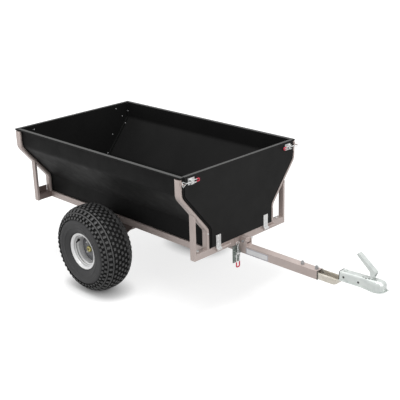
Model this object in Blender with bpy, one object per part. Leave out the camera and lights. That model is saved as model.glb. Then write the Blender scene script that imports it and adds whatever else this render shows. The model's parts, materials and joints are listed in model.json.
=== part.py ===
# All terrain vehicle garden trailer: tipping tub with a drop front gate on a single axle and drawbar.
# Metres. +X runs to the coupling, +Y to the left wheel, +Z up, ground at zero.
import math
import bpy
import bmesh
from mathutils import Matrix, Vector

for old in list(bpy.data.objects):
    bpy.data.objects.remove(old, do_unlink=True)

# Shared clearances
GAP = 0.0003
RUN = 0.0005

# Wheels and axle
TYRE_R = 0.2795
AXLE_Z = TYRE_R
TYRE_IN = 0.335
TYRE_OUT = 0.570
TYRE_Y = (TYRE_IN + TYRE_OUT) / 2
TYRE_HALF = (TYRE_OUT - TYRE_IN) / 2
KNOB = 0.010
KNOB_FOOT = 0.205
KNOB_TAPER = 0.82
SHOULDER_DROP = 0.0415
SHOULDER_Y = TYRE_HALF - 0.019
RIM_R = 0.118
RIM_LIP = 0.022
RIM_SEAT = RIM_R - 0.014
RIM_T = 0.003
WELL_R = 0.091
AXLE_BEAM = 0.040
AXLE_R = 0.020
SPINDLE_R = 0.0125
AXLE_END = TYRE_IN - 0.009
DISC_FACE = TYRE_OUT - 0.092
SPINDLE_END = DISC_FACE + 0.020
CAP_R = 0.0255
WHEEL_STEPS = 28

# Frame of the tub
FRONT = 0.840
REAR = -0.710
TUBE = 0.040
WALL = 0.003
FRAME_RISE = 0.1305
FRAME_Z = AXLE_Z + FRAME_RISE
DECK_Z = FRAME_Z + TUBE
STRUT_Y = 0.395
STRUT_T = 0.015
STRUT_W = 0.035
PIVOT_PLATE_T = 0.008
PIVOT_REACH = 0.184
PIVOT_NARROW = 0.128
PIVOT_SHOULDER = 0.048

# Tub sheets
SEAT_Y = 0.270
RAIL_Y = SEAT_Y + 0.010
FLARE_Y = 0.470
TUB_DEPTH = 0.480
RIM_Z = DECK_Z + TUB_DEPTH
BEND_LOW = DECK_Z + 0.120
BEND_HIGH = RIM_Z - 0.117
BEND_R = 0.045
SHEET = 0.010
LIP_Y = FLARE_Y + 0.017
REAR_X = REAR - 0.005
REAR_LIP = 0.0225
PANEL_REAR = REAR_X + 0.0115
PANEL_FRONT = FRONT + 0.003
GATE_X = FRONT + 0.005
GATE_GAP = 0.002
GATE_LOW = DECK_Z + 0.0035
GATE_LIP = 0.020

# Posts, flat oval tube
POST_W = 0.044
POST_T = 0.022
POST_WALL = 0.002
POST_ROUND = 0.0085
POST_TOP = RIM_Z - 0.013
POST_REAR = REAR + 0.045

# Gate hinge
HINGE_PIN_R = 0.0055
STRAP_W = 0.038
STRAP_T = 0.003
EYE_IN = HINGE_PIN_R + 0.0004
EYE_OUT = EYE_IN + STRAP_T
HINGE_X = FRONT + EYE_OUT + 2 * GAP
HINGE_Z = DECK_Z - 0.018
HINGE_Y = 0.207
STRAP_TOP = DECK_Z + 0.069

# Drawbar and coupling
BAR = 0.050
BAR_TOP = FRAME_Z - 0.010
BAR_REAR = -0.030
BAR_FRONT = 1.414
BRACKET_Y = BAR / 2 - WALL - RUN
BRACKET_T = 0.005
BRACKET_PLUG = 0.114
BRACKET_SHOWN = 0.144
TONGUE_REACH = 0.154
COUPLER_X = BAR_FRONT + BRACKET_SHOWN
LIP_TIP = 1.841
NOSE = 0.061
BALL_X = LIP_TIP - NOSE
COUPLING_T = 0.0035
COUPLING_Y = BRACKET_Y + RUN + COUPLING_T
BOLT_R = 0.005
BOLT_Z = BAR_TOP + 0.0205
LEVER_X = BALL_X - 0.027
LEVER_Z = BAR_TOP + 0.070
LEVER_Y = 0.014
LEVER_T = 0.0033
LEVER_PIN = 0.0035

# Toggle latches
TOGGLE_R = 0.008
TOGGLE_PIN = 0.003
TOGGLE_STAND = 0.0147
LOOP_HALF = 0.0145
RING_WIRE = 0.0015
PEG_R = 0.0035
BASE_EDGE = 0.009
LATCH_Z = RIM_Z - 0.033
LATCH_PIVOT_Y = FLARE_Y - 0.050
GATE_GRIP = 0.0095
GATE_HANDLE = 0.071
GATE_TAIL = 0.034
TILT_PIVOT_Z = BAR_TOP - 0.043
TILT_GRIP = 0.0155
TILT_HANDLE = 0.105
TILT_TAIL = 0.062
TILT_Y = -BAR / 2 - TILT_GRIP - BASE_EDGE - 0.0015
LATCH_FACE = FRONT - 0.002

# Lock pin
LOCK_X = FRONT + 0.032
LOCK_Z = BAR_TOP + 0.028
LOCK_R = 0.005
EAR_Y = 0.0245
EAR_T = 0.006
CLIP_Y = 0.036
CLIP_R = 0.0015
CLIP_LEAN = math.radians(45)

# Everything is drawn from the axle line and moved so the box centre is at the origin
SHIFT = (LIP_TIP + REAR_X) / 2


def material(name, colour, rough, metal):
    mat = bpy.data.materials.new(name)
    mat.use_nodes = True
    shader = mat.node_tree.nodes["Principled BSDF"]
    shader.inputs["Base Color"].default_value = (*colour, 1.0)
    shader.inputs["Roughness"].default_value = rough
    shader.inputs["Metallic"].default_value = metal
    return mat


def make(name, verts, faces, smooth=False):
    mesh = bpy.data.meshes.new(name)
    bm = bmesh.new()
    made = [bm.verts.new(v) for v in verts]
    for face in faces:
        bm.faces.new([made[i] for i in face])
    bmesh.ops.recalc_face_normals(bm, faces=bm.faces)
    for face in bm.faces:
        face.smooth = smooth
    bm.to_mesh(mesh)
    bm.free()
    obj = bpy.data.objects.new(name, mesh)
    bpy.context.scene.collection.objects.link(obj)
    return obj


def spot(axis, a, b, along):
    if axis == "x":
        return (along, a, b)
    if axis == "y":
        return (a, along, b)
    return (a, b, along)


def prism(name, pts, axis, lo, hi, smooth=False):
    n = len(pts)
    verts = [spot(axis, a, b, lo) for a, b in pts] + [spot(axis, a, b, hi) for a, b in pts]
    faces = [tuple(range(n)), tuple(range(n, 2 * n))]
    faces += [(i, (i + 1) % n, n + (i + 1) % n, n + i) for i in range(n)]
    return make(name, verts, faces, smooth)


def box(name, x0, x1, y0, y1, z0, z1):
    return prism(name, [(x0, y0), (x1, y0), (x1, y1), (x0, y1)], "z", z0, z1)


def ring(ca, cb, r, n, start=0.0):
    turn = 2 * math.pi / n
    return [(ca + r * math.cos(start + i * turn), cb + r * math.sin(start + i * turn)) for i in range(n)]


def arc(ca, cb, r, a0, a1, n):
    angles = [math.radians(a0 + (a1 - a0) * i / n) for i in range(n + 1)]
    return [(ca + r * math.cos(t), cb + r * math.sin(t)) for t in angles]


def rod(name, axis, ca, cb, r, lo, hi, n=20):
    return prism(name, ring(ca, cb, r, n), axis, lo, hi)


def boolean(obj, other, kind):
    mod = obj.modifiers.new("cut", "BOOLEAN")
    mod.operation = kind
    mod.solver = "EXACT"
    mod.object = other
    bpy.context.view_layer.objects.active = obj
    bpy.ops.object.modifier_apply(modifier=mod.name)
    bpy.data.objects.remove(other, do_unlink=True)
    return obj


def cut(obj, *others):
    for other in others:
        boolean(obj, other, "DIFFERENCE")
    return obj


def join(obj, *others):
    for other in others:
        boolean(obj, other, "UNION")
    return obj


def bevel(obj, width, segments=2, angle=40):
    mod = obj.modifiers.new("edge", "BEVEL")
    mod.width = width
    mod.segments = segments
    mod.limit_method = "ANGLE"
    mod.angle_limit = math.radians(angle)
    return obj


def lathe(name, profile, centre_x, centre_z, steps, smooth=True):
    # Closed outline of (radius, y) turned about a line along Y
    n = len(profile)
    verts = []
    for i in range(steps):
        t = 2 * math.pi * i / steps - math.pi / 2
        for r, y in profile:
            verts.append((centre_x + r * math.cos(t), y, centre_z + r * math.sin(t)))
    faces = []
    for i in range(steps):
        k = (i + 1) % steps
        for j in range(n):
            m = (j + 1) % n
            faces.append((i * n + j, i * n + m, k * n + m, k * n + j))
    return make(name, verts, faces, smooth)


def finish(obj, mat, origin=(0.0, 0.0, 0.0), side=1, name=None):
    for vert in obj.data.vertices:
        vert.co = Vector((vert.co.x, vert.co.y * side, vert.co.z)) - Vector(origin)
    if side < 0:
        obj.data.flip_normals()
    obj.location = (origin[0] - SHIFT, origin[1], origin[2])
    obj.data.materials.clear()
    obj.data.materials.append(mat)
    if name:
        obj.name = name
    return obj


def smooth_all(obj, angle=35):
    for face in obj.data.polygons:
        face.use_smooth = True
    obj.data.set_sharp_from_angle(angle=math.radians(angle))
    return obj


def square_tube(name, axis, a0, a1, b0, b1, lo, hi, wall=WALL):
    outer = [(a0, b0), (a1, b0), (a1, b1), (a0, b1)]
    inner = [(a0 + wall, b0 + wall), (a1 - wall, b0 + wall), (a1 - wall, b1 - wall), (a0 + wall, b1 - wall)]
    return hollow(name, axis, outer, inner, lo, hi)


def hollow(name, axis, outer, inner, lo, hi):
    n = len(outer)
    verts = []
    for along in (lo, hi):
        verts += [spot(axis, a, b, along) for a, b in outer + inner]
    faces = []
    for i in range(n):
        k = (i + 1) % n
        faces.append((i, k, 2 * n + k, 2 * n + i))
        faces.append((n + i, n + k, 3 * n + k, 3 * n + i))
        faces.append((i, k, n + k, n + i))
        faces.append((2 * n + i, 2 * n + k, 3 * n + k, 3 * n + i))
    return make(name, verts, faces)


# Side line of the tub in the YZ plane, with the normal pointing out and down
def seat_line(z0, z1, steps=4):
    low = Vector((SEAT_Y, BEND_LOW))
    high = Vector((FLARE_Y, BEND_HIGH))
    run = (high - low).normalized()
    turn = math.atan2(run.x, run.y)
    tangent = BEND_R * math.tan(turn / 2)
    out = [(Vector((SEAT_Y, z0)), Vector((1.0, 0.0)))]
    centre = Vector((SEAT_Y + BEND_R, BEND_LOW - tangent))
    for i in range(steps + 1):
        t = turn * i / steps
        normal = Vector((math.cos(t), -math.sin(t)))
        out.append((centre - normal * BEND_R, normal))
    centre = Vector((FLARE_Y - BEND_R, BEND_HIGH + tangent))
    for i in range(steps + 1):
        t = turn * (1 - i / steps)
        normal = Vector((math.cos(t), -math.sin(t)))
        out.append((centre + normal * BEND_R, normal))
    out.append((Vector((FLARE_Y, z1)), Vector((1.0, 0.0))))
    return out


def seat_offset(distance, z0, z1, steps=4):
    return [tuple(p + n * distance) for p, n in seat_line(z0, z1, steps)]


def rounded(width, height, radius, steps):
    pts = []
    for cx, cy, a in ((1, 1, 0), (-1, 1, 90), (-1, -1, 180), (1, -1, 270)):
        pts += arc(cx * (width / 2 - radius), cy * (height / 2 - radius), radius, a, a + 90, steps)
    return pts


# Colours
BLACK = material("black_sheet", (0.028, 0.029, 0.030), 0.45, 0.0)
FRAME = material("frame_paint", (0.33, 0.29, 0.275), 0.42, 0.25)
ZINC = material("zinc_steel", (0.52, 0.51, 0.49), 0.35, 0.85)
RED = material("red_handle", (0.60, 0.02, 0.05), 0.40, 0.0)
RUBBER = material("tyre_rubber", (0.035, 0.035, 0.037), 0.75, 0.0)
SILVER = material("rim_silver", (0.62, 0.62, 0.62), 0.35, 0.6)
GREY = material("disc_grey", (0.12, 0.12, 0.12), 0.50, 0.5)
YELLOW = material("cap_yellow", (0.42, 0.37, 0.16), 0.45, 0.0)
COUPLING = material("coupling_steel", (0.50, 0.51, 0.50), 0.38, 0.7)

SIDES = ((-1, "right"), (1, "left"))


# Tub sheets
def side_panel(side, word):
    outer = seat_offset(0.0, DECK_Z + GAP, RIM_Z - SHEET)
    inner = seat_offset(-SHEET, DECK_Z + GAP, RIM_Z)
    pts = outer + [(LIP_Y, RIM_Z - SHEET), (LIP_Y, RIM_Z)] + inner[::-1]
    obj = prism("side_panel_" + word, pts, "x", PANEL_REAR, PANEL_FRONT)
    bevel(obj, 0.002, 1, 60)
    finish(obj, BLACK, side=side)


def cross_outline(clear, low, high):
    half = seat_offset(-SHEET - clear, low, high)
    return half + [(-y, z) for y, z in half[::-1]]


for side, word in SIDES:
    side_panel(side, word)

PLATE_REAR = REAR_X + REAR_LIP - SHEET
PLATE_FRONT = REAR_X + REAR_LIP
rear = prism("rear_panel", cross_outline(GAP, DECK_Z + GAP, RIM_Z), "x", PLATE_REAR, PLATE_FRONT)
lip_inner = FLARE_Y - SHEET - GAP
lip_edge = PANEL_REAR - GAP
lip_pts = [(REAR_X, -LIP_Y), (lip_edge, -LIP_Y), (lip_edge, -lip_inner), (PLATE_FRONT - RUN, -lip_inner)]
lip_pts += [(x, -y) for x, y in lip_pts[::-1]]
join(rear, prism("lip", lip_pts, "z", RIM_Z - SHEET, RIM_Z))
finish(rear, BLACK)

FLOOR_FRONT = GATE_X - SHEET - RUN
floor_half = SEAT_Y - SHEET - GAP
finish(box("floor_panel", PLATE_FRONT + GAP, FLOOR_FRONT, -floor_half, floor_half, DECK_Z + GAP,
           DECK_Z + GAP + SHEET), BLACK)

# Posts along the four corners
POST_LINE = seat_line(DECK_Z + GAP, POST_TOP)
post_mid = GAP + POST_T / 2
outer_ring = rounded(POST_W, POST_T, POST_ROUND, 2)
inner_ring = rounded(POST_W - 2 * POST_WALL, POST_T - 2 * POST_WALL, POST_ROUND - POST_WALL, 2)


def post(name, front, side):
    mid_x = front - POST_W / 2
    n = len(outer_ring)
    verts = []
    for point, normal in POST_LINE:
        for u, v in outer_ring + inner_ring:
            spot_yz = point + normal * (post_mid + v)
            verts.append((mid_x + u, spot_yz.x, spot_yz.y))
    rows = len(POST_LINE)
    faces = []
    for r in range(rows - 1):
        for shift in (0, n):
            base = r * 2 * n + shift
            for i in range(n):
                k = (i + 1) % n
                faces.append((base + i, base + k, base + 2 * n + k, base + 2 * n + i))
    for r in (0, rows - 1):
        base = r * 2 * n
        for i in range(n):
            k = (i + 1) % n
            faces.append((base + i, base + k, base + n + k, base + n + i))
    finish(smooth_all(make(name, verts, faces)), FRAME, side=side)


for side, word in SIDES:
    post("post_front_" + word, FRONT, side)
    post("post_rear_" + word, POST_REAR, side)

# Upright struts from the crossbar ends to the underside of the posts
flare_dir = Vector((FLARE_Y - SEAT_Y, BEND_HIGH - BEND_LOW)).normalized()
flare_out = Vector((flare_dir.y, -flare_dir.x))
flare_point = Vector((SEAT_Y, BEND_LOW)) + flare_out * (POST_T + 2 * GAP)


def under_post(y):
    return flare_point.y + (y - flare_point.x) * flare_dir.y / flare_dir.x


for side, word in SIDES:
    for place, front in (("front", FRONT), ("rear", POST_REAR)):
        inner_y = STRUT_Y - STRUT_T
        pts = [(inner_y, FRAME_Z), (STRUT_Y, FRAME_Z)]
        pts += [(STRUT_Y, under_post(STRUT_Y)), (inner_y, under_post(inner_y))]
        strut = prism("strut_" + place + "_" + word, pts, "x", front - STRUT_W, front)
        finish(strut, FRAME, side=side)

# Crossbars butt between the struts, rails run between the crossbars
BUTT = STRUT_Y - STRUT_T - GAP
front_bar = square_tube("crossbar_front", "y", FRONT - TUBE, FRONT, FRAME_Z, DECK_Z, -BUTT, BUTT)
finish(front_bar, FRAME)
rear_bar = square_tube("crossbar_rear", "y", REAR, REAR + TUBE, FRAME_Z, DECK_Z, -BUTT, BUTT)
finish(rear_bar, FRAME)
for side, word in SIDES:
    rail = square_tube("side_rail_" + word, "x", RAIL_Y - TUBE, RAIL_Y, FRAME_Z, DECK_Z,
                       REAR + TUBE + GAP, FRONT - TUBE - GAP)
    finish(rail, FRAME, side=side)

# Flat gussets standing on the rear crossbar between post and strut
for side, word in SIDES:
    gusset = box("rear_gusset_" + word, REAR, REAR + 0.006, SEAT_Y + POST_T + 2 * GAP, BUTT,
                 DECK_Z + GAP, DECK_Z + TUBE)
    finish(gusset, FRAME, side=side)

# Corner strips that close the rear panel against the side panels, inside the tub
STRIP = 0.012
STRIP_LOW = DECK_Z + SHEET + 0.0035
for side, word in SIDES:
    outer = seat_offset(-SHEET - GAP, STRIP_LOW, RIM_Z - STRIP)
    inner = seat_offset(-SHEET - STRIP, STRIP_LOW, RIM_Z - STRIP)
    strip = prism("rear_corner_strip_" + word, outer + inner[::-1], "x",
                  PLATE_FRONT + GAP, PLATE_FRONT + STRIP)
    finish(strip, BLACK, side=side)

# Gate
gate = prism("gate_panel", cross_outline(GATE_GAP, GATE_LOW, RIM_Z), "x", GATE_X - SHEET, GATE_X)
gate_half = FLARE_Y - SHEET - GATE_GAP - RUN
join(gate, box("lip", GATE_X - GATE_LIP, GATE_X - RUN, -gate_half, gate_half, RIM_Z - SHEET, RIM_Z))
GATE_ORIGIN = (HINGE_X, 0.0, HINGE_Z)
finish(gate, BLACK, GATE_ORIGIN)

for side, word in SIDES:
    mid = side * HINGE_Y
    y0 = mid - STRAP_W / 2
    y1 = mid + STRAP_W / 2
    strap = hollow("hinge_strap_" + word, "y", ring(HINGE_X, HINGE_Z, EYE_OUT, 24),
                   ring(HINGE_X, HINGE_Z, EYE_IN, 24), y0, y1)
    leaf_x = GATE_X + GAP
    leaf = box("leaf", leaf_x, leaf_x + STRAP_T, y0, y1, HINGE_Z + EYE_IN + 0.0009, STRAP_TOP)
    join(strap, leaf)
    finish(smooth_all(strap), ZINC, GATE_ORIGIN)
    pin_end = y1 + (0.080 if side < 0 else 0.068)
    pin = rod("hinge_pin_" + word, "y", HINGE_X, HINGE_Z, HINGE_PIN_R, y0 - 0.002, pin_end, 24)
    foot = box("foot", FRONT + GAP, HINGE_X, y1 + 0.003, pin_end - 0.003, HINGE_Z - 0.0045, HINGE_Z + 0.0045)
    join(pin, foot)
    finish(smooth_all(pin), FRAME)


# Toggle latch in its own lines: n stands off the face, u points to the keeper, w runs across
def latch(word, place, face, pivot_u, mid_w, grip, handle, tail, origin_of):
    def put(points):
        return [place(n, u, w) for n, u, w in points]

    def block(name, n0, n1, u0, u1, w0, w1):
        corners = [(n, u, w) for n in (n0, n1) for u in (u0, u1) for w in (w0, w1)]
        faces = [(0, 1, 3, 2), (4, 5, 7, 6), (0, 1, 5, 4), (2, 3, 7, 6), (0, 2, 6, 4), (1, 3, 7, 5)]
        return make(name, put(corners), faces)

    def pegs(name, cn, cu, r, w0, w1, n=12):
        pts = ring(cn, cu, r, n)
        verts = put([(a, b, w0) for a, b in pts] + [(a, b, w1) for a, b in pts])
        faces = [tuple(range(n)), tuple(range(n, 2 * n))]
        faces += [(i, (i + 1) % n, n + (i + 1) % n, n + i) for i in range(n)]
        return make(name, verts, faces)

    pivot_n = face + TOGGLE_STAND
    base = block("latch_base_" + word, face + GAP, face + GAP + 0.003, pivot_u - tail, pivot_u + 0.014,
                 mid_w - grip - BASE_EDGE, mid_w + grip + BASE_EDGE)
    for sign in (-1, 1):
        cheek = sorted((mid_w + sign * (grip + 0.0005), mid_w + sign * (grip + 0.0035)))
        join(base, block("cheek", face + 0.001, pivot_n + 0.005, pivot_u - 0.008, pivot_u + 0.008, *cheek))
        stub = sorted((mid_w + sign * (grip - 0.0027), mid_w + sign * (grip + 0.0025)))
        join(base, pegs("stub", pivot_n, pivot_u, TOGGLE_PIN, *stub))
    finish(base, ZINC, origin_of("base", pivot_n, pivot_u))

    lever_low = pivot_u - handle
    lever = block("latch_handle_" + word, pivot_n - 0.004, pivot_n + 0.004, lever_low, lever_low + 0.006,
                  mid_w - grip, mid_w + grip)
    for sign in (-1, 1):
        cheek = sorted((mid_w + sign * (grip - 0.003), mid_w + sign * grip))
        arm = block("arm", pivot_n - 0.0045, pivot_n + 0.0045, lever_low + 0.001, pivot_u + 0.006, *cheek)
        hole = sorted((mid_w + sign * (grip - 0.0045), mid_w + sign * (grip + 0.001)))
        cut(arm, pegs("hole", pivot_n, pivot_u, TOGGLE_PIN + 0.0004, *hole))
        join(lever, arm)
    pin_half = grip - 0.0015
    join(lever, pegs("pin", pivot_n, pivot_u - TOGGLE_R, 0.0025, mid_w - pin_half, mid_w + pin_half))
    finish(lever, RED, origin_of("handle", pivot_n, pivot_u))

    hook_u = pivot_u - TOGGLE_R
    barrel = grip - 0.0045
    bail = pegs("latch_bail_" + word, pivot_n, hook_u, 0.0055, mid_w - barrel, mid_w + barrel, 16)
    loop_top = pivot_u + 0.0668
    loop_low = loop_top - 0.030
    stem = ring(0.0, 0.0, 0.003, 10)
    start_u = hook_u + 0.004
    stop_u = loop_low + 0.001
    stem_verts = put([(pivot_n + a, start_u, mid_w + b) for a, b in stem]
                     + [(pivot_n + a, stop_u, mid_w + b) for a, b in stem])
    stem_faces = [tuple(range(10)), tuple(range(10, 20))]
    stem_faces += [(i, (i + 1) % 10, 10 + (i + 1) % 10, 10 + i) for i in range(10)]
    join(bail, make("stem", stem_verts, stem_faces))
    cut(bail, pegs("bore", pivot_n, hook_u, 0.0029, mid_w - barrel - 0.001, mid_w + barrel + 0.001))
    corners = [(loop_low, 0.0), (loop_top - 0.004, LOOP_HALF), (loop_top, LOOP_HALF - 0.004),
               (loop_top, 0.004 - LOOP_HALF), (loop_top - 0.004, -LOOP_HALF)]
    loop = []
    wire_steps = 6
    count = len(corners)
    for i in range(count):
        before = (Vector(corners[i]) - Vector(corners[i - 1])).normalized()
        after = (Vector(corners[(i + 1) % count]) - Vector(corners[i])).normalized()
        run = (before + after).normalized()
        stretch = 1 / max(run.dot(after), 0.5)
        for k in range(wire_steps):
            s = 2 * math.pi * (k + 0.5) / wire_steps
            off = RING_WIRE * math.cos(s) * stretch
            loop.append((pivot_n + RING_WIRE * math.sin(s), corners[i][0] - run.y * off,
                         mid_w + corners[i][1] + run.x * off))
    loop_faces = []
    for i in range(count):
        for k in range(wire_steps):
            j = (i + 1) % count
            m = (k + 1) % wire_steps
            here = i * wire_steps
            there = j * wire_steps
            loop_faces.append((here + k, here + m, there + m, there + k))
    join(bail, make("loop", put(loop), loop_faces))
    finish(smooth_all(bail), ZINC, origin_of("bail", pivot_n, hook_u))
    return loop_top


def gate_frame(side):
    def place(n, u, w):
        return (n, side * u, w)

    def origin(kind, n, u):
        return GATE_ORIGIN if kind == "base" else (n, side * u, LATCH_Z)

    return place, origin


for side, word in SIDES:
    place, origin = gate_frame(side)
    loop_u = latch("gate_" + word, place, GATE_X, LATCH_PIVOT_Y, LATCH_Z,
                   GATE_GRIP, GATE_HANDLE, GATE_TAIL, origin)
    peg_y = side * (loop_u - RING_WIRE - PEG_R - GAP)
    catch = box("gate_catch_" + word, FRONT + GAP, FRONT + GAP + 0.003, peg_y - 0.007, peg_y + 0.007,
                LATCH_Z - 0.012, LATCH_Z + 0.012)
    join(catch, rod("peg", "x", peg_y, LATCH_Z, PEG_R, FRONT + 0.001, GATE_X + TOGGLE_STAND + 0.006, 16))
    finish(catch, ZINC)


def tilt_place(n, u, w):
    return (n, w, u)


def tilt_origin(kind, n, u):
    return (0.0, 0.0, 0.0) if kind == "base" else (n, TILT_Y, u)


latch("tilt", tilt_place, LATCH_FACE, TILT_PIVOT_Z, TILT_Y, TILT_GRIP, TILT_HANDLE, TILT_TAIL, tilt_origin)
bar_side = -BAR / 2 - GAP
plate_right = TILT_Y - TILT_GRIP - BASE_EDGE - 0.001
mount_plate = box("latch_plate", LATCH_FACE - 0.005, LATCH_FACE, plate_right, bar_side,
                  TILT_PIVOT_Z - TILT_TAIL - 0.004, TILT_PIVOT_Z + 0.040)
finish(mount_plate, FRAME)
nub_z = TILT_PIVOT_Z + 0.0615
nub_tip = LATCH_FACE + TOGGLE_STAND - RING_WIRE - 0.0007
keeper = box("tilt_keeper", FRONT + GAP, FRONT + GAP + 0.003, TILT_Y - 0.012, TILT_Y + 0.012,
             FRAME_Z + 0.002, DECK_Z - 0.004)
join(keeper, rod("nub", "x", TILT_Y, nub_z, 0.005, FRONT + 0.001, nub_tip, 16))
finish(keeper, ZINC)

# Drawbar
bar_low = BAR_TOP - BAR
drawbar = square_tube("drawbar", "x", -BAR / 2, BAR / 2, bar_low, BAR_TOP, BAR_REAR, BAR_FRONT)
finish(drawbar, FRAME)

# Axle beam under the drawbar, with dropped end plates that carry the stub axles
beam_top = bar_low - GAP
beam_low = beam_top - AXLE_BEAM
beam_end = RAIL_Y - PIVOT_PLATE_T - RUN
drop_half = AXLE_R + 0.006
axle = square_tube("axle", "y", -AXLE_BEAM / 2, AXLE_BEAM / 2, beam_low, beam_top, -beam_end, beam_end)
for sign in (-1, 1):
    drop_pts = arc(0.0, AXLE_Z, drop_half, 180, 360, 10)
    drop_pts += [(drop_half, beam_low + WALL / 2), (-drop_half, beam_low + WALL / 2)]
    join(axle, prism("drop", drop_pts, "y", *sorted((sign * (beam_end - 0.010), sign * beam_end))))
    stub = sorted((sign * (beam_end - 0.004), sign * AXLE_END))
    join(axle, rod("stub", "y", 0.0, AXLE_Z, AXLE_R, *stub, 24))
    spindle = sorted((sign * (AXLE_END - 0.004), sign * SPINDLE_END))
    join(axle, rod("spindle", "y", 0.0, AXLE_Z, SPINDLE_R, *spindle, 24))
finish(smooth_all(axle), FRAME)

# Saddle strap that holds the beam up against the drawbar
saddle_in = AXLE_BEAM / 2 + GAP
saddle_low = beam_low - GAP
saddle_pts = [(-saddle_in, beam_top), (-0.045, beam_top), (-0.028, saddle_low - 0.005),
              (0.028, saddle_low - 0.005), (0.045, beam_top), (saddle_in, beam_top),
              (saddle_in, saddle_low), (-saddle_in, saddle_low)]
finish(prism("axle_saddle", saddle_pts, "y", -BAR / 2, BAR / 2), FRAME)

# Pivot plates that carry the tub on the stub axles
BOSS = AXLE_R + 0.025
for side, word in SIDES:
    shoulder = FRAME_Z - PIVOT_SHOULDER
    pts = [(PIVOT_REACH, FRAME_Z - GAP), (-PIVOT_REACH, FRAME_Z - GAP), (-PIVOT_NARROW, shoulder)]
    pts += arc(0.0, AXLE_Z, BOSS, 175, 365, 12) + [(PIVOT_NARROW, shoulder)]
    plate = prism("pivot_plate_" + word, pts, "y", RAIL_Y - PIVOT_PLATE_T, RAIL_Y)
    cut(plate, rod("bore", "y", 0.0, AXLE_Z, AXLE_R + RUN, RAIL_Y - 0.02, RAIL_Y + 0.02, 28))
    finish(plate, FRAME, (0.0, 0.0, AXLE_Z), side=side)

# Lock pin with its bracket, tongue and clip
ear_back = LOCK_X - 0.022
ear_front = LOCK_X + 0.024
ear_top = LOCK_Z + 0.012
ear_pts = [(ear_back, BAR_TOP + GAP), (ear_front, BAR_TOP + GAP), (ear_front, ear_top - 0.008),
           (ear_front - 0.008, ear_top), (ear_back + 0.008, ear_top), (ear_back, ear_top - 0.008)]
lock = box("lock_bracket", LOCK_X - 0.066, ear_front, -EAR_Y, EAR_Y, BAR_TOP + GAP, BAR_TOP + GAP + 0.009)
for sign in (-1, 1):
    edge = sorted((sign * EAR_Y, sign * (EAR_Y - EAR_T)))
    join(lock, prism("ear", ear_pts, "y", *edge))
cut(lock, rod("bore", "y", LOCK_X, LOCK_Z, LOCK_R + RUN, -0.03, 0.03, 24))
finish(lock, FRAME)

tongue_low = FRAME_Z + 0.008
tongue_top = DECK_Z - 0.004
slot_back = LOCK_X - LOCK_R - 0.0008
slot_front = LOCK_X + LOCK_R + 0.004
slot_top = LOCK_Z + LOCK_R + 0.0015
tongue_pts = [(FRONT + GAP, tongue_top), (slot_front + 0.005, tongue_top),
              (slot_front + 0.009, tongue_top - 0.004), (slot_front + 0.009, tongue_low),
              (slot_front, tongue_low), (slot_front, slot_top), (slot_back, slot_top),
              (slot_back, tongue_low), (FRONT + GAP, tongue_low)]
tongue = prism("lock_tongue", tongue_pts, "y", -0.016, 0.016)
finish(tongue, FRAME)

pin_head = -EAR_Y - RUN
pin_tip = 0.046
lock_pin = rod("lock_pin", "y", LOCK_X, LOCK_Z, LOCK_R, pin_head - 0.001, pin_tip, 20)
join(lock_pin, rod("head", "y", LOCK_X, LOCK_Z, 0.0075, pin_head - 0.008, pin_head, 20))
bore = rod("hole", "z", 0.0, 0.0, CLIP_R + 0.0004, -0.01, 0.01, 12)
bore.matrix_world = Matrix.Translation((LOCK_X, CLIP_Y, LOCK_Z)) @ Matrix.Rotation(CLIP_LEAN, 4, "Y")
cut(lock_pin, bore)
finish(smooth_all(lock_pin), ZINC, (LOCK_X, 0.0, LOCK_Z))


def wire(name, path, radius, steps=8):
    # Round wire along a path in the XZ plane at y zero
    verts = []
    for i, (x, z) in enumerate(path):
        before = Vector(path[max(i - 1, 0)])
        after = Vector(path[min(i + 1, len(path) - 1)])
        run = (after - before).normalized()
        for k in range(steps):
            s = 2 * math.pi * k / steps
            off = radius * math.cos(s)
            verts.append((x - run.y * off, radius * math.sin(s), z + run.x * off))
    faces = [tuple(range(steps)), tuple(range((len(path) - 1) * steps, len(path) * steps))]
    for i in range(len(path) - 1):
        for k in range(steps):
            m = (k + 1) % steps
            faces.append((i * steps + k, i * steps + m, (i + 1) * steps + m, (i + 1) * steps + k))
    return make(name, verts, faces, True)


clip_path = [(0.0, -0.012), (0.0, 0.010)] + arc(0.0055, 0.018, 0.0055, 180, -30, 8)
clip_path += [(0.0075, 0.007), (0.0095, -0.002), (0.011, -0.010)]
clip = wire("lock_clip", clip_path, CLIP_R)
clip.data.transform(Matrix.Translation((LOCK_X, CLIP_Y, LOCK_Z)) @ Matrix.Rotation(CLIP_LEAN, 4, "Y"))
finish(clip, ZINC, (LOCK_X, CLIP_Y, LOCK_Z))

# Bracket between drawbar and coupling: an upward open channel that plugs into the drawbar, its floor
# swept up at the front into a tongue inside the hood, its right wall lower and folded inward
BRACKET_BACK = BAR_FRONT - BRACKET_PLUG
BRACKET_LOW = BAR_TOP - BAR + WALL + GAP
BRACKET_TIP = COUPLER_X + TONGUE_REACH
SWEEP_X = COUPLER_X - 0.048
SWEEP_R = 0.050
STEP_X = BAR_FRONT + 0.002
WALL_LOW = BAR_TOP - 0.014
BOLT_HOLES = (COUPLER_X + 0.028, COUPLER_X + 0.121)
plug_top = BAR_TOP - WALL - RUN
tongue_rise = BAR_TOP + 0.0025
tongue_top = BAR_TOP + 0.032
bracket_pts = [(BRACKET_BACK, BRACKET_LOW)] + arc(SWEEP_X, BRACKET_LOW + SWEEP_R, SWEEP_R, -90, -10, 6)
bracket_pts += [(COUPLER_X + 0.032, tongue_rise), (BRACKET_TIP, tongue_rise + 0.0035),
                (BRACKET_TIP, tongue_top), (COUPLER_X + 0.014, tongue_top),
                (COUPLER_X + 0.002, BAR_TOP), (STEP_X, BAR_TOP), (STEP_X, plug_top),
                (BRACKET_BACK, plug_top)]
bracket = prism("coupler_bracket", bracket_pts, "y", -BRACKET_Y, BRACKET_Y)
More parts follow.
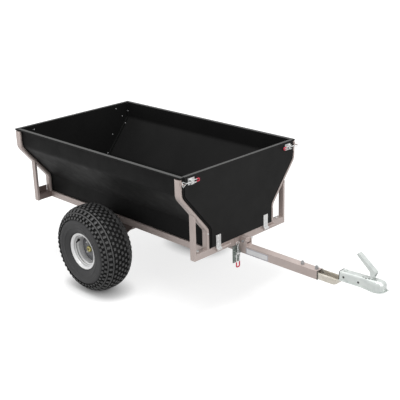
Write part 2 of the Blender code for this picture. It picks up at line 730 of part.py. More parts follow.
trough_top = tongue_top + 0.02
inner_pts = [(BRACKET_BACK - 0.01, BRACKET_LOW + BRACKET_T)]
inner_pts += arc(SWEEP_X, BRACKET_LOW + SWEEP_R, SWEEP_R - BRACKET_T, -90, -10, 6)
inner_pts += [(COUPLER_X + 0.030, tongue_rise + BRACKET_T),
              (BRACKET_TIP + 0.01, tongue_rise + 0.004 + BRACKET_T), (BRACKET_TIP + 0.01, trough_top),
              (BRACKET_BACK - 0.01, trough_top)]
channel = BRACKET_Y - BRACKET_T
cut(bracket, prism("channel", inner_pts, "y", -channel, channel))
cut(bracket, box("step", STEP_X, COUPLER_X - 0.003, -BAR / 2, -0.010, WALL_LOW, trough_top))
join(bracket, box("fold", STEP_X, COUPLER_X - 0.012, 0.002 - BRACKET_Y, 0.014 - BRACKET_Y,
                  WALL_LOW - 0.0035, WALL_LOW))
cut(bracket, rod("hole", "y", BAR_FRONT + 0.048, BAR_TOP - 0.015, BOLT_R, 0.0, 0.05, 16))
for hole_x in BOLT_HOLES:
    cut(bracket, rod("hole", "y", hole_x, BOLT_Z, BOLT_R, -0.05, 0.05, 16))
finish(bracket, ZINC)


def shell(name, grow, sections):
    # Pressed hood: sections along X, each with half width, top, low edge and corner radius
    verts = []
    for x, half, top, low, corner in sections:
        h = half + grow
        t = top + grow
        r = corner + grow
        row = [(-h, low)]
        row += [(-p, q) for p, q in arc(h - r, t - r, r, 0, 90, 4)]
        row += [(p, q) for p, q in arc(h - r, t - r, r, 90, 0, 4)]
        row += [(h, low)]
        verts += [(x, y, z) for y, z in row]
    n = 12
    rows = len(sections)
    faces = [tuple(range(n)), tuple(range((rows - 1) * n, rows * n))]
    for i in range(rows - 1):
        for k in range(n):
            m = (k + 1) % n
            faces.append((i * n + k, i * n + m, (i + 1) * n + m, (i + 1) * n + k))
    return make(name, verts, faces)


# Hood stations: distance from the ball, half width, top and low edge over the drawbar top, corner radius
SECTIONS = [(COUPLER_X - BALL_X, COUPLING_Y, 0.047, -0.0035, 0.010),
            (-0.080, COUPLING_Y, 0.0545, 0.000, 0.010), (-0.045, 0.028, 0.0565, -0.0005, 0.014),
            (-0.015, 0.033, 0.059, -0.001, 0.022), (0.010, 0.034, 0.061, 0.000, 0.024),
            (0.032, 0.029, 0.059, 0.002, 0.020), (0.044, 0.020, 0.050, 0.0055, 0.012),
            (0.050, 0.010, 0.036, 0.010, 0.006)]
outside = [(BALL_X + x, half, BAR_TOP + top, BAR_TOP + low, corner)
           for x, half, top, low, corner in SECTIONS]
hood = shell("coupling_body", 0.0, outside)
brim = [(station[0], station[1] + 0.006, station[3]) for station in outside]
brim[-2] = (BALL_X + 0.054, 0.024, BAR_TOP + 0.0075)
brim[-1] = (LIP_TIP, 0.013, BAR_TOP + 0.012)
brim_verts = []
for x, half, low in brim:
    brim_verts += [(x, -half, low), (x, half, low), (x, half, low + 0.004), (x, -half, low + 0.004)]
brim_faces = [(0, 1, 2, 3), tuple(range(len(brim_verts) - 4, len(brim_verts)))]
for i in range(len(brim) - 1):
    for k in range(4):
        m = (k + 1) % 4
        brim_faces.append((i * 4 + k, i * 4 + m, i * 4 + 4 + m, i * 4 + 4 + k))
join(hood, make("brim", brim_verts, brim_faces))
deep = BAR_TOP - 0.030
inside = [(COUPLER_X - 0.007, *outside[0][1:3], deep, outside[0][4])]
inside += [(x, half, top, deep, corner) for x, half, top, low, corner in outside[1:6]]
inside.append((BALL_X + 0.0435, 0.016, BAR_TOP + 0.046, deep, 0.0085))
cut(hood, shell("hollow", -COUPLING_T, inside))
roof = BAR_TOP + 0.0548
lug_pts = [(LEVER_X - 0.008, roof)] + arc(LEVER_X, LEVER_Z, 0.008, 180, 0, 8) + [(LEVER_X + 0.008, roof)]
lug = prism("lug", lug_pts, "y", -0.009, 0.009)
join(lug, rod("pin", "y", LEVER_X, LEVER_Z, LEVER_PIN, -LEVER_Y - 0.0008, LEVER_Y + 0.0008, 16))
join(hood, lug)
for hole_x in BOLT_HOLES:
    cut(hood, rod("hole", "y", hole_x, BOLT_Z, BOLT_R, -0.05, 0.05, 16))
finish(hood, COUPLING)

# Coupling lever, folded channel on the pin of the hood
arm = [(0.021, 0.024), (0.016, 0.033), (-0.085, 0.109), (-0.092, 0.108), (-0.098, 0.100), (-0.013, 0.025)]
skin = [(-0.053, -0.030), (0.032, -0.030), (0.032, 0.016), (0.017, 0.0255), (-0.086, 0.103),
        (-0.113, 0.090)]
foot = arc(LEVER_X, LEVER_Z, 0.010, 170, 370, 8)
lever = prism("coupling_lever", foot + [(LEVER_X + x, LEVER_Z + z) for x, z in arm], "y", -LEVER_Y, LEVER_Y)
hollow_half = LEVER_Y - LEVER_T
cut(lever, prism("skin", [(LEVER_X + x, LEVER_Z + z) for x, z in skin], "y", -hollow_half, hollow_half))
cut(lever, rod("hole", "y", LEVER_X, LEVER_Z, LEVER_PIN + 0.0004, -0.05, 0.05, 16))
finish(lever, COUPLING, (LEVER_X, 0.0, LEVER_Z))

# Ball clamp behind the ball pocket, inside the hood
clamp_line = [(-0.058, 0.0519), (-0.058, 0.008), (-0.046, 0.003), (-0.032, 0.005), (-0.039, 0.014),
              (-0.039, 0.032), (-0.032, 0.0537)]
clamp = prism("ball_clamp", [(BALL_X + x, BAR_TOP + z) for x, z in clamp_line], "y", -0.013, 0.013)
finish(clamp, ZINC)


# Wheels
def carcass(across):
    # Radius at the foot of the knobs, falling with the cube of the distance from the middle
    return TYRE_R - KNOB - SHOULDER_DROP * (abs(across) / SHOULDER_Y) ** 3


def tyre(side, word):
    lip_y = TYRE_HALF - RIM_LIP
    bead = RIM_SEAT + 0.0008
    wall = [(bead, lip_y - 0.012), (RIM_SEAT + 0.0055, lip_y - 0.0062),
            (RIM_R + 0.0015, lip_y - 0.0045), (RIM_R + 0.006, lip_y + 0.006),
            (RIM_R + 0.032, TYRE_HALF - 0.004), (KNOB_FOOT - 0.015, TYRE_HALF),
            (KNOB_FOOT, TYRE_HALF - 0.006)]
    crown = [(carcass(share * SHOULDER_Y), share * SHOULDER_Y) for share in (1.0, 0.82, 0.59, 0.35, 0.12)]
    outer = wall + crown
    inner = [(TYRE_R - 0.030, SHOULDER_Y - 0.030), (KNOB_FOOT - 0.015, TYRE_HALF - 0.012),
             (bead, lip_y - 0.024)]
    profile = outer + [(r, -y) for r, y in outer[::-1]] + [(r, -y) for r, y in inner[::-1]] + inner
    n = len(profile)
    verts = []
    for i in range(WHEEL_STEPS):
        t = 2 * math.pi * i / WHEEL_STEPS - math.pi / 2
        for r, y in profile:
            verts.append((r * math.cos(t), TYRE_Y + y, AXLE_Z + r * math.sin(t)))
    faces = []
    blocks = []
    first = len(wall) - 1
    last = first + 2 * len(crown)
    for i in range(WHEEL_STEPS):
        k = (i + 1) % WHEEL_STEPS
        for j in range(n):
            m = (j + 1) % n
            if first <= j <= last and (i + j) % 2 == 0:
                blocks.append(len(faces))
            faces.append((i * n + j, i * n + m, k * n + m, k * n + j))
    obj = make("tyre_" + word, verts, faces, True)
    bm = bmesh.new()
    bm.from_mesh(obj.data)
    bm.faces.ensure_lookup_table()
    picked = [bm.faces[i] for i in blocks]
    for face in bmesh.ops.extrude_discrete_faces(bm, faces=picked)["faces"]:
        face.smooth = False
        for edge in face.edges:
            edge.smooth = False
        middle = face.calc_center_median()
        for vert in face.verts:
            vert.co = middle + (vert.co - middle) * KNOB_TAPER
            away = Vector((vert.co.x, 0.0, vert.co.z - AXLE_Z)).normalized()
            across = vert.co.y - TYRE_Y
            lean = math.atan(3 * SHOULDER_DROP * across * across / SHOULDER_Y ** 3)
            vert.co += away * KNOB * math.cos(lean)
            reach = min(abs(across) + KNOB * math.sin(lean), TYRE_HALF)
            vert.co.y = TYRE_Y + math.copysign(reach, across)
    bm.to_mesh(obj.data)
    bm.free()
    finish(obj, RUBBER, (0.0, side * TYRE_Y, AXLE_Z), side=side)


def rim(side, word):
    lip_y = TYRE_HALF - RIM_LIP
    t = RIM_T
    outer = [(RIM_R, lip_y), (RIM_R, lip_y - 0.0035), (RIM_SEAT + 0.004, lip_y - 0.005),
             (RIM_SEAT, lip_y - 0.010), (RIM_SEAT - 0.001, lip_y - 0.030),
             (WELL_R + 0.001, lip_y - 0.038)]
    inner = [(WELL_R + 0.001 - t, lip_y - 0.039), (RIM_SEAT - t - 0.001, lip_y - 0.031),
             (RIM_SEAT - t, lip_y - 0.009), (RIM_SEAT + 0.004, lip_y - 0.001)]
    ring_line = outer + [(r, -y) for r, y in outer[::-1]] + [(r, -y) for r, y in inner[::-1]] + inner
    profile = [(r, TYRE_Y + y) for r, y in ring_line]
    obj = lathe("rim_" + word, profile, 0.0, AXLE_Z, WHEEL_STEPS)
    finish(smooth_all(obj), SILVER, (0.0, side * TYRE_Y, AXLE_Z), side=side)


def disc(side, word):
    bore = SPINDLE_R + 0.0004
    face_y = DISC_FACE
    rim_in = WELL_R + 0.001 - RIM_T - GAP
    profile = [(bore, TYRE_Y - 0.060), (0.026, TYRE_Y - 0.060), (0.026, face_y - 0.010),
               (0.034, face_y - 0.010), (0.060, face_y - 0.004), (0.078, face_y - 0.010),
               (rim_in, face_y - 0.012), (rim_in, face_y - 0.003), (0.080, face_y - 0.004),
               (0.060, face_y + 0.002), (0.036, face_y - 0.003), (0.028, face_y - 0.002),
               (0.028, face_y + 0.008), (bore, face_y + 0.008)]
    obj = lathe("disc_" + word, profile, 0.0, AXLE_Z, WHEEL_STEPS)
    for i in range(4):
        t = math.radians(45 + 90 * i)
        hole_x = 0.046 * math.cos(t)
        hole_z = AXLE_Z + 0.046 * math.sin(t)
        cut(obj, rod("hole", "y", hole_x, hole_z, 0.0055, face_y - 0.03, face_y + 0.03, 8))
    finish(smooth_all(obj), GREY, (0.0, side * TYRE_Y, AXLE_Z), side=side)


def cap(side, word):
    base = DISC_FACE + 0.008 + GAP
    inner = SPINDLE_R + 0.002
    deep = SPINDLE_END + 0.002
    pts = [(inner, base), (CAP_R, base), (CAP_R, base + 0.008), (CAP_R - 0.004, base + 0.014),
           (0.012, base + 0.0165)]
    steps = 22
    verts = []
    for i in range(steps):
        t = 2 * math.pi * i / steps
        for r, y in [(inner, deep)] + pts:
            verts.append((r * math.cos(t), y, AXLE_Z + r * math.sin(t)))
    n = len(pts) + 1
    faces = []
    for i in range(steps):
        k = (i + 1) % steps
        for j in range(n - 1):
            faces.append((i * n + j, i * n + j + 1, k * n + j + 1, k * n + j))
    faces.append(tuple(i * n for i in range(steps)))
    faces.append(tuple(i * n + n - 1 for i in range(steps)))
    obj = make("hub_cap_" + word, verts, faces)
    finish(smooth_all(obj), YELLOW, (0.0, side * TYRE_Y, AXLE_Z), side=side)


for side, word in SIDES:
    tyre(side, word)
    rim(side, word)
    disc(side, word)
    cap(side, word)
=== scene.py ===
# Dressed scene of the garden trailer: finer wheels and latches, coupling details, fasteners,
# materials, light and camera. Lengths are in metres.
import json
import math
import bpy
import bmesh
from mathutils import Matrix, Vector
from mathutils.bvhtree import BVHTree


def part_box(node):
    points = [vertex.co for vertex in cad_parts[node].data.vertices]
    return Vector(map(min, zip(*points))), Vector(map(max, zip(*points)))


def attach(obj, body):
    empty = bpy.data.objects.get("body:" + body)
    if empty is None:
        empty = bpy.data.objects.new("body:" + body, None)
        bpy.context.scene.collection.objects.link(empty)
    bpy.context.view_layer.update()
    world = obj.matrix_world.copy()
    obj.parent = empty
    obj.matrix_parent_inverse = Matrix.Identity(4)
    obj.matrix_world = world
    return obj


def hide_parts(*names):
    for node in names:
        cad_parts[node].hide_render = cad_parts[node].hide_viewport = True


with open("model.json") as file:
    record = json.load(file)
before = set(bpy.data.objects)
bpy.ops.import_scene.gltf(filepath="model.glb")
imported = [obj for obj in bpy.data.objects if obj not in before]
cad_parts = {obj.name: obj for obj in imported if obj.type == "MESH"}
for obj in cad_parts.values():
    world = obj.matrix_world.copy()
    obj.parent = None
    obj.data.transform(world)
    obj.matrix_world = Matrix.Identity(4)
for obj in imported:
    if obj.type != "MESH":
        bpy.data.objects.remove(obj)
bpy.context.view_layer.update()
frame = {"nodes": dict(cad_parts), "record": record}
nodes = frame["nodes"]
SIDES = ((-1, "right"), (1, "left"))
AHEAD = Vector((1.0, 0.0, 0.0))
ACROSS = Vector((0.0, 1.0, 0.0))
UP = Vector((0.0, 0.0, 1.0))

# Camera solved from the photograph, in degrees, metres and millimetres of lens
CAM_SPOT = (3.334, -3.376, 2.373)
CAM_TURN = 45.2017
CAM_RISE = 20.4535
CAM_ROLL = -1.6106
CAM_LENS = 75.17
CAM_SENSOR = 36.0


def joint(name):
    for entry in frame["record"]["behaviour"]["joints"]:
        if entry["name"] == name:
            return Vector(entry["pos_m"])
    raise KeyError(name)


# Material building blocks
NOISE_LOW = 0.3         # noise values that the two tones and the roughness span
NOISE_HIGH = 0.7
WEAR_FADE = 0.08        # noise range over which a worn mark fades in
COAT_ROUGH = 0.25
MIX_A, MIX_B, MIX_RESULT = 6, 7, 2      # colour sockets of the mix node


def tree_of(name):
    mat = bpy.data.materials.new(name)
    mat.use_nodes = True
    tree = mat.node_tree
    return mat, tree, tree.nodes["Principled BSDF"]


def object_coords(tree):
    return tree.nodes.new("ShaderNodeTexCoord").outputs["Object"]


def noise(tree, coords, scale, detail=4.0, rough=0.55):
    node = tree.nodes.new("ShaderNodeTexNoise")
    node.inputs["Scale"].default_value = scale
    node.inputs["Detail"].default_value = detail
    node.inputs["Roughness"].default_value = rough
    tree.links.new(coords, node.inputs["Vector"])
    return node.outputs["Fac"]


def ramp(tree, fac, dark, light):
    node = tree.nodes.new("ShaderNodeValToRGB")
    ends = node.color_ramp.elements
    for end, place, colour in ((ends[0], NOISE_LOW, dark), (ends[1], NOISE_HIGH, light)):
        end.position = place
        end.color = (*colour, 1.0)
    tree.links.new(fac, node.inputs["Fac"])
    return node.outputs["Color"]


def remap(tree, fac, low, high, start=NOISE_LOW, end=NOISE_HIGH):
    node = tree.nodes.new("ShaderNodeMapRange")
    node.inputs["From Min"].default_value = start
    node.inputs["From Max"].default_value = end
    node.inputs["To Min"].default_value = low
    node.inputs["To Max"].default_value = high
    tree.links.new(fac, node.inputs["Value"])
    return node.outputs["Result"]


def bump(tree, height, strength, distance):
    node = tree.nodes.new("ShaderNodeBump")
    node.inputs["Strength"].default_value = strength
    node.inputs["Distance"].default_value = distance
    tree.links.new(height, node.inputs["Height"])
    return node.outputs["Normal"]


def mix(tree, fac, colour, tone):
    # The colour from a socket, turning into one plain tone as fac rises
    node = tree.nodes.new("ShaderNodeMix")
    node.data_type = "RGBA"
    tree.links.new(fac, node.inputs["Factor"])
    tree.links.new(colour, node.inputs[MIX_A])
    node.inputs[MIX_B].default_value = (*tone, 1.0)
    return node.outputs[MIX_RESULT]


def combine(tree, operation, first, second):
    node = tree.nodes.new("ShaderNodeMath")
    node.operation = operation
    tree.links.new(first, node.inputs[0])
    tree.links.new(second, node.inputs[1])
    return node.outputs["Value"]


def surface(name, dark, light, spread, rough, metal=0.0, grain=900.0, depth=0.00004,
            wear=None, coat=0.0, specular=0.5):
    # Two close tones in broad clouds, roughness that varies with them, fine grain in the bump,
    # and worn marks where wear gives their tone, noise scale and threshold
    mat, tree, shader = tree_of(name)
    coords = object_coords(tree)
    clouds = noise(tree, coords, spread)
    colour = ramp(tree, clouds, dark, light)
    if wear is not None:
        tone, scale, edge = wear
        marks = noise(tree, coords, scale, detail=6.0, rough=0.7)
        worn = remap(tree, marks, 0.0, 1.0, start=edge, end=edge + WEAR_FADE)
        colour = mix(tree, worn, colour, tone)
    tree.links.new(colour, shader.inputs["Base Color"])
    tree.links.new(remap(tree, clouds, *rough), shader.inputs["Roughness"])
    fine = noise(tree, coords, grain, detail=3.0)
    tree.links.new(bump(tree, fine, strength=0.5, distance=depth), shader.inputs["Normal"])
    shader.inputs["Metallic"].default_value = metal
    shader.inputs["Coat Weight"].default_value = coat
    shader.inputs["Coat Roughness"].default_value = COAT_ROUGH
    shader.inputs["Specular IOR Level"].default_value = specular
    return mat


RIM_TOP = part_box("side_panel_right")[1][2]
# Painted highlight on the rim's top face: it fades in over these heights and over these slopes
# of the normal
TUB_RIM_HIGHLIGHT_HEIGHTS = (RIM_TOP - 0.0035, RIM_TOP - 0.0030)
TUB_RIM_HIGHLIGHT_SLOPES = (0.90, 0.98)
TUB_RIM_HIGHLIGHT_TONE = (0.072, 0.072, 0.071)
SHEET_ROUGH = (0.48, 0.62)
SHEET_SPECULAR = 0.06


def sheet_surface(name, dark, light):
    # Black tub sheet: leathery fine grain, soft scuffs, and a painted highlight that makes the
    # rim's upward top face paler
    mat, tree, shader = tree_of(name)
    coords = object_coords(tree)
    colour = ramp(tree, noise(tree, coords, 3.0), dark, light)
    facing = tree.nodes.new("ShaderNodeSeparateXYZ")
    geometry = tree.nodes.new("ShaderNodeNewGeometry")
    tree.links.new(geometry.outputs["True Normal"], facing.inputs["Vector"])
    level = remap(tree, facing.outputs["Z"], 0.0, 1.0, *TUB_RIM_HIGHLIGHT_SLOPES)
    spot = tree.nodes.new("ShaderNodeSeparateXYZ")
    tree.links.new(coords, spot.inputs["Vector"])
    high = remap(tree, spot.outputs["Z"], 0.0, 1.0, *TUB_RIM_HIGHLIGHT_HEIGHTS)
    # Painted highlight: faces that point up at the rim's height turn paler
    colour = mix(tree, combine(tree, "MULTIPLY", level, high), colour, TUB_RIM_HIGHLIGHT_TONE)
    tree.links.new(colour, shader.inputs["Base Color"])
    scuff = noise(tree, coords, 14.0, detail=6.0, rough=0.65)
    tree.links.new(remap(tree, scuff, *SHEET_ROUGH), shader.inputs["Roughness"])
    fine = noise(tree, coords, 420.0, detail=5.0, rough=0.6)
    tree.links.new(bump(tree, fine, strength=0.35, distance=0.00012), shader.inputs["Normal"])
    shader.inputs["Specular IOR Level"].default_value = SHEET_SPECULAR
    return mat


SHEET = sheet_surface("tub_black", (0.0072, 0.0072, 0.0072), (0.0098, 0.0098, 0.0097))
# Gate sheet: the tub's black made paler, painted light for the stronger light that falls on the
# gate
GATE_SHEET_PAINTED_LIGHT = sheet_surface("gate_black_painted_light", (0.0150, 0.0150, 0.0149), (0.0195, 0.0195, 0.0193))
PAINT = surface(
    "frame_paint", (0.430, 0.358, 0.332), (0.500, 0.424, 0.396), spread=7.0, rough=(0.36, 0.48),
    metal=0.25, grain=1500.0, depth=0.00003, wear=((0.30, 0.25, 0.235), 60.0, 0.70), coat=0.15)
# Painted shade: a darker copy of the frame paint for the rear crossbar, rear gussets, pivot
# plates and axle, which sit in shadow
PAINT_PAINTED_SHADE = surface(
    "frame_paint_painted_shade", (0.150, 0.112, 0.102), (0.215, 0.165, 0.150), spread=9.0,
    rough=(0.40, 0.54), metal=0.25, grain=1500.0, depth=0.00003,
    wear=((0.11, 0.085, 0.078), 60.0, 0.66))
ZINC = surface(
    "zinc", (0.58, 0.59, 0.59), (0.74, 0.74, 0.73), spread=60.0, rough=(0.30, 0.46),
    metal=0.40, grain=700.0, wear=((0.30, 0.31, 0.30), 140.0, 0.64))
# Painted shade: a dark copy of the zinc for the latch base plates, which sit in shadow
ZINC_PAINTED_SHADE = surface(
    "zinc_painted_shade", (0.13, 0.16, 0.145), (0.24, 0.27, 0.25), spread=60.0, rough=(0.34, 0.50),
    metal=0.35, grain=700.0, wear=((0.40, 0.43, 0.41), 110.0, 0.60))
DARK_ZINC = surface(
    "dark_zinc", (0.10, 0.11, 0.11), (0.17, 0.18, 0.18), spread=50.0, rough=(0.36, 0.50),
    metal=0.5, grain=700.0)
BRACKET = surface(
    "bracket_zinc", (0.53, 0.49, 0.42), (0.68, 0.645, 0.58), spread=28.0, rough=(0.34, 0.50),
    metal=0.35, grain=600.0, wear=((0.40, 0.36, 0.24), 45.0, 0.60))
STEEL = surface(
    "coupling_zinc", (0.52, 0.555, 0.54), (0.63, 0.66, 0.64), spread=22.0, rough=(0.30, 0.42),
    metal=0.45, depth=0.00003, wear=((0.48, 0.51, 0.49), 80.0, 0.66))
BOLT = surface(
    "bolt_grey", (0.24, 0.24, 0.245), (0.36, 0.36, 0.365), spread=50.0, rough=(0.34, 0.48),
    metal=0.35, grain=700.0)
GOLD = surface(
    "yellow_zinc", (0.36, 0.32, 0.11), (0.50, 0.45, 0.18), spread=70.0, rough=(0.30, 0.45),
    metal=0.55, grain=700.0, depth=0.00003)
RED = surface(
    "red_dip", (0.52, 0.012, 0.045), (0.62, 0.020, 0.060), spread=30.0, rough=(0.28, 0.40),
    grain=500.0, depth=0.00003, coat=0.3)
RUBBER = surface(
    "tyre_rubber", (0.014, 0.014, 0.015), (0.023, 0.023, 0.024), spread=12.0, rough=(0.58, 0.74),
    grain=500.0, depth=0.00010)
# Knob tops: worn rubber that is paler, together with a painted highlight where light falls on
# the tops
RUBBER_TOP_WEAR_AND_HIGHLIGHT = surface(
    "tyre_knob_tops_wear_and_highlight", (0.042, 0.042, 0.042), (0.064, 0.064, 0.064), spread=14.0,
    rough=(0.56, 0.72), grain=500.0, depth=0.00010)
# Painted shade: darker rubber for the knob sides and the casing between the knobs
RUBBER_GROOVE_SHADE = surface(
    "tyre_groove_painted_shade", (0.009, 0.009, 0.009), (0.015, 0.015, 0.015), spread=12.0, rough=(0.66, 0.80),
    grain=500.0, depth=0.00010, specular=0.25)
RIM = surface(
    "rim_silver", (0.74, 0.74, 0.74), (0.85, 0.85, 0.85), spread=25.0, rough=(0.30, 0.42),
    metal=0.20, depth=0.00003, wear=((0.50, 0.50, 0.50), 90.0, 0.68))
# Painted shade: darker grey on the faces of the rim's groove
RIM_GROOVE_SHADE = surface(
    "rim_groove_painted_shade", (0.24, 0.24, 0.24), (0.34, 0.34, 0.34), spread=30.0, rough=(0.42, 0.56),
    metal=0.20, depth=0.00003)
DISC = surface(
    "disc_grey", (0.125, 0.125, 0.135), (0.205, 0.205, 0.215), spread=35.0, rough=(0.40, 0.55),
    metal=0.3, depth=0.00003)
# Dark: the valve's own rubber, and painted shade on holes, slots and edges of the drawbar,
# coupling and posts
DARK = surface(
    "dark_rubber_and_painted_shade", (0.010, 0.010, 0.010), (0.016, 0.016, 0.016), spread=40.0, rough=(0.60, 0.80))
PALE = surface(
    "blank_strip", (0.44, 0.43, 0.47), (0.52, 0.51, 0.55), spread=20.0, rough=(0.38, 0.50),
    grain=300.0, depth=0.00002)
PALE_INSIDE = surface(
    "blank_strip_inside", (0.76, 0.76, 0.77), (0.84, 0.84, 0.85), spread=20.0,
    rough=(0.38, 0.50), grain=300.0, depth=0.00002)

# Finish of each material slot of the record, and of the single nodes that differ from it
FINISH = {
    "tub_sheet": SHEET, "frame_paint": PAINT, "zinc": ZINC, "red_grip": RED, "tyre": RUBBER,
    "rim": RIM, "wheel_disc": DISC, "hub_cap": GOLD, "coupling_steel": STEEL,
}
BY_NODE = {
    "gate_panel": GATE_SHEET_PAINTED_LIGHT, "coupler_bracket": BRACKET, "lock_pin": BOLT,
    "gate_catch_right": PAINT, "gate_catch_left": PAINT, "tilt_keeper": PAINT,
    # The latch bases take the zinc in painted shade
    "latch_base_tilt": ZINC_PAINTED_SHADE, "latch_plate": ZINC_PAINTED_SHADE,
    # Painted shade on frame parts that sit in shadow
    "crossbar_rear": PAINT_PAINTED_SHADE, "rear_gusset_right": PAINT_PAINTED_SHADE, "rear_gusset_left": PAINT_PAINTED_SHADE,
    "pivot_plate_right": PAINT_PAINTED_SHADE, "pivot_plate_left": PAINT_PAINTED_SHADE,
    "axle": PAINT_PAINTED_SHADE, "axle_saddle": PAINT_PAINTED_SHADE,
}
slot_of = {entry["node"]: entry["material_slot"] for entry in frame["record"]["subparts"]}
for name, obj in nodes.items():
    obj.data.materials.clear()
    obj.data.materials.append(BY_NODE.get(name, FINISH[slot_of[name]]))

# Width of the rounded edges, by the start of the node's name
EDGES = {
    "crossbar": 0.003, "side_rail": 0.003, "strut": 0.003, "drawbar": 0.004,
    "coupler_bracket": 0.002, "pivot_plate": 0.001, "lock_bracket": 0.0012,
    "lock_tongue": 0.0015, "latch_base": 0.0008, "latch_plate": 0.001, "floor_panel": 0.001,
    "gate_panel": 0.0015, "rear_panel": 0.0015, "side_panel": 0.0015, "hinge_strap": 0.0006,
    "gate_catch": 0.0006, "tilt_keeper": 0.0006, "rear_gusset": 0.001, "coupling_lever": 0.0012,
}
EDGE_SEGMENTS = 2
SHARP_ANGLE = 35


def soften(obj, width):
    mod = obj.modifiers.new("edge", "BEVEL")
    mod.width = width
    mod.segments = EDGE_SEGMENTS
    mod.limit_method = "ANGLE"
    mod.angle_limit = math.radians(SHARP_ANGLE)
    mod.harden_normals = False


for name, obj in nodes.items():
    for start, width in EDGES.items():
        if name.startswith(start):
            soften(obj, width)


# Mesh building blocks
HEX_CHAMFER = 0.12      # share of a bolt head's height and width that its chamfer takes
HEX_STEPS = 6
WASHER_STEPS = 20
DOME_RINGS = 4
PAD_SINK = 0.0006
PAD_STEPS = 8
PAD_EDGE_AT = 0.7       # level of a pad's upper edge and size of its top, as shares
PAD_TOP = 0.86
NEARLY_ALONG = 0.2      # a bar whose sine to the last lift is smaller takes another side


def piece(name, bm, mat, body, smooth=True, angle=SHARP_ANGLE):
    mesh = bpy.data.meshes.new(name)
    bmesh.ops.recalc_face_normals(bm, faces=bm.faces)
    bm.to_mesh(mesh)
    bm.free()
    if smooth:
        for face in mesh.polygons:
            face.use_smooth = True
        mesh.set_sharp_from_angle(angle=math.radians(angle))
    mesh.materials.append(mat)
    obj = bpy.data.objects.new(name, mesh)
    bpy.context.scene.collection.objects.link(obj)
    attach(obj, body)
    return obj


def tint(bm, made, index):
    # Give the faces made after the first ones a material of their own
    bm.faces.ensure_lookup_table()
    for face in bm.faces[made:]:
        face.material_index = index


def circle(steps):
    # Cosine and sine of evenly spaced angles
    angles = [2 * math.pi * k / steps for k in range(steps)]
    return [(math.cos(a), math.sin(a)) for a in angles]


def band(bm, low, high):
    # Faces between two rings of vertices
    for k in range(len(low)):
        m = (k + 1) % len(low)
        bm.faces.new((low[k], low[m], high[m], high[k]))


def skin(bm, rings):
    # Closed skin over a row of rings, with a face at each end
    for low, high in zip(rings, rings[1:]):
        band(bm, low, high)
    bm.faces.new(rings[0])
    bm.faces.new(rings[-1])


def hoop(bm, rings):
    # Skin over rings that come round to the first one again
    for low, high in zip(rings, rings[1:] + rings[:1]):
        band(bm, low, high)


def revolve(bm, profile, centre, steps):
    # Closed (radius, y) outline turned about a line along Y through centre
    hoop(bm, [[bm.verts.new((centre.x + r * c, centre.y + y, centre.z + r * s))
               for r, y in profile] for c, s in circle(steps)])


def prong(bm, path, radius, steps=12):
    # Round bar along points; radius is one number, or a list with one for each point
    radii = radius if isinstance(radius, list) else [radius] * len(path)
    rings = []
    lift = UP
    for i, point in enumerate(path):
        run = (path[min(i + 1, len(path) - 1)] - path[max(i - 1, 0)]).normalized()
        side = run.cross(lift)
        if side.length < NEARLY_ALONG:
            side = run.cross(AHEAD)
        side.normalize()
        lift = side.cross(run).normalized()
        rings.append([bm.verts.new(point + side * radii[i] * c + lift * radii[i] * s)
                      for c, s in circle(steps)])
    skin(bm, rings)


def spindle(bm, foot, way, stations, steps):
    # Round bar from foot along way, through (distance, radius) stations
    prong(bm, [foot + way * level for level, _ in stations], [r for _, r in stations], steps)


def bent(points, radius, steps=6):
    # Straight runs joined by round bends
    out = [points[0]]
    for a, b, c in zip(points, points[1:], points[2:]):
        before = (a - b).normalized()
        after = (c - b).normalized()
        turn = before.angle(after)
        cutback = radius / math.tan(turn / 2)
        start = b + before * cutback
        end = b + after * cutback
        middle = b + (before + after).normalized() * (radius / math.sin(turn / 2))
        for i in range(steps + 1):
            spoke = (start - middle).lerp(end - middle, i / steps).normalized()
            out.append(middle + spoke * radius)
    out.append(points[-1])
    return out


def standing(base, axis):
    # Matrix of a frame at base whose Z points along axis
    matrix = axis.to_track_quat("Z", "Y").to_matrix().to_4x4()
    matrix.translation = base
    return matrix


def ring(bm, matrix, radius, level, steps):
    return [bm.verts.new(matrix @ Vector((radius * c, radius * s, level)))
            for c, s in circle(steps)]


def hexagon(bm, base, axis, across, height, washer):
    # Bolt head with a chamfered top on a washer, standing on base and pointing along axis
    matrix = standing(base, axis)
    wide, thick = washer
    skin(bm, [ring(bm, matrix, wide, level, WASHER_STEPS) for level in (0.0, thick)])
    radius = across / math.sqrt(3)
    levels = ((radius, thick), (radius, thick + height * (1 - HEX_CHAMFER)),
              (radius * (1 - HEX_CHAMFER), thick + height))
    skin(bm, [ring(bm, matrix, r, level, HEX_STEPS) for r, level in levels])


def dome(bm, base, axis, radius, height, steps=16):
    matrix = standing(base, axis)
    angles = [math.pi / 2 * j / DOME_RINGS for j in range(DOME_RINGS)]
    skin(bm, [ring(bm, matrix, radius * math.cos(t), height * math.sin(t), steps)
              for t in angles])


def slab(bm, centre, size):
    for vert in bmesh.ops.create_cube(bm, size=1.0)["verts"]:
        vert.co = Vector(centre) + vert.co * Vector(size)


def oblong(bm, foot, along, across, length, width, rise):
    # Low pad with round ends, standing on foot; a negative rise turns it over
    up = along.cross(across).normalized()
    if rise < 0.0:
        up, rise = -up, -rise
    rings = []
    for size, level in ((1.0, -PAD_SINK), (1.0, rise * PAD_EDGE_AT), (PAD_TOP, rise)):
        outline = []
        for end in (1, -1):
            for k in range(PAD_STEPS + 1):
                t = math.pi * k / PAD_STEPS - math.pi / 2
                reach = (length - width) / 2 + width / 2 * math.cos(t) * size
                aside = width / 2 * math.sin(t) * size
                spot = foot + along * (end * reach) + across * (end * aside) + up * level
                outline.append(bm.verts.new(spot))
        rings.append(outline)
    skin(bm, rings)


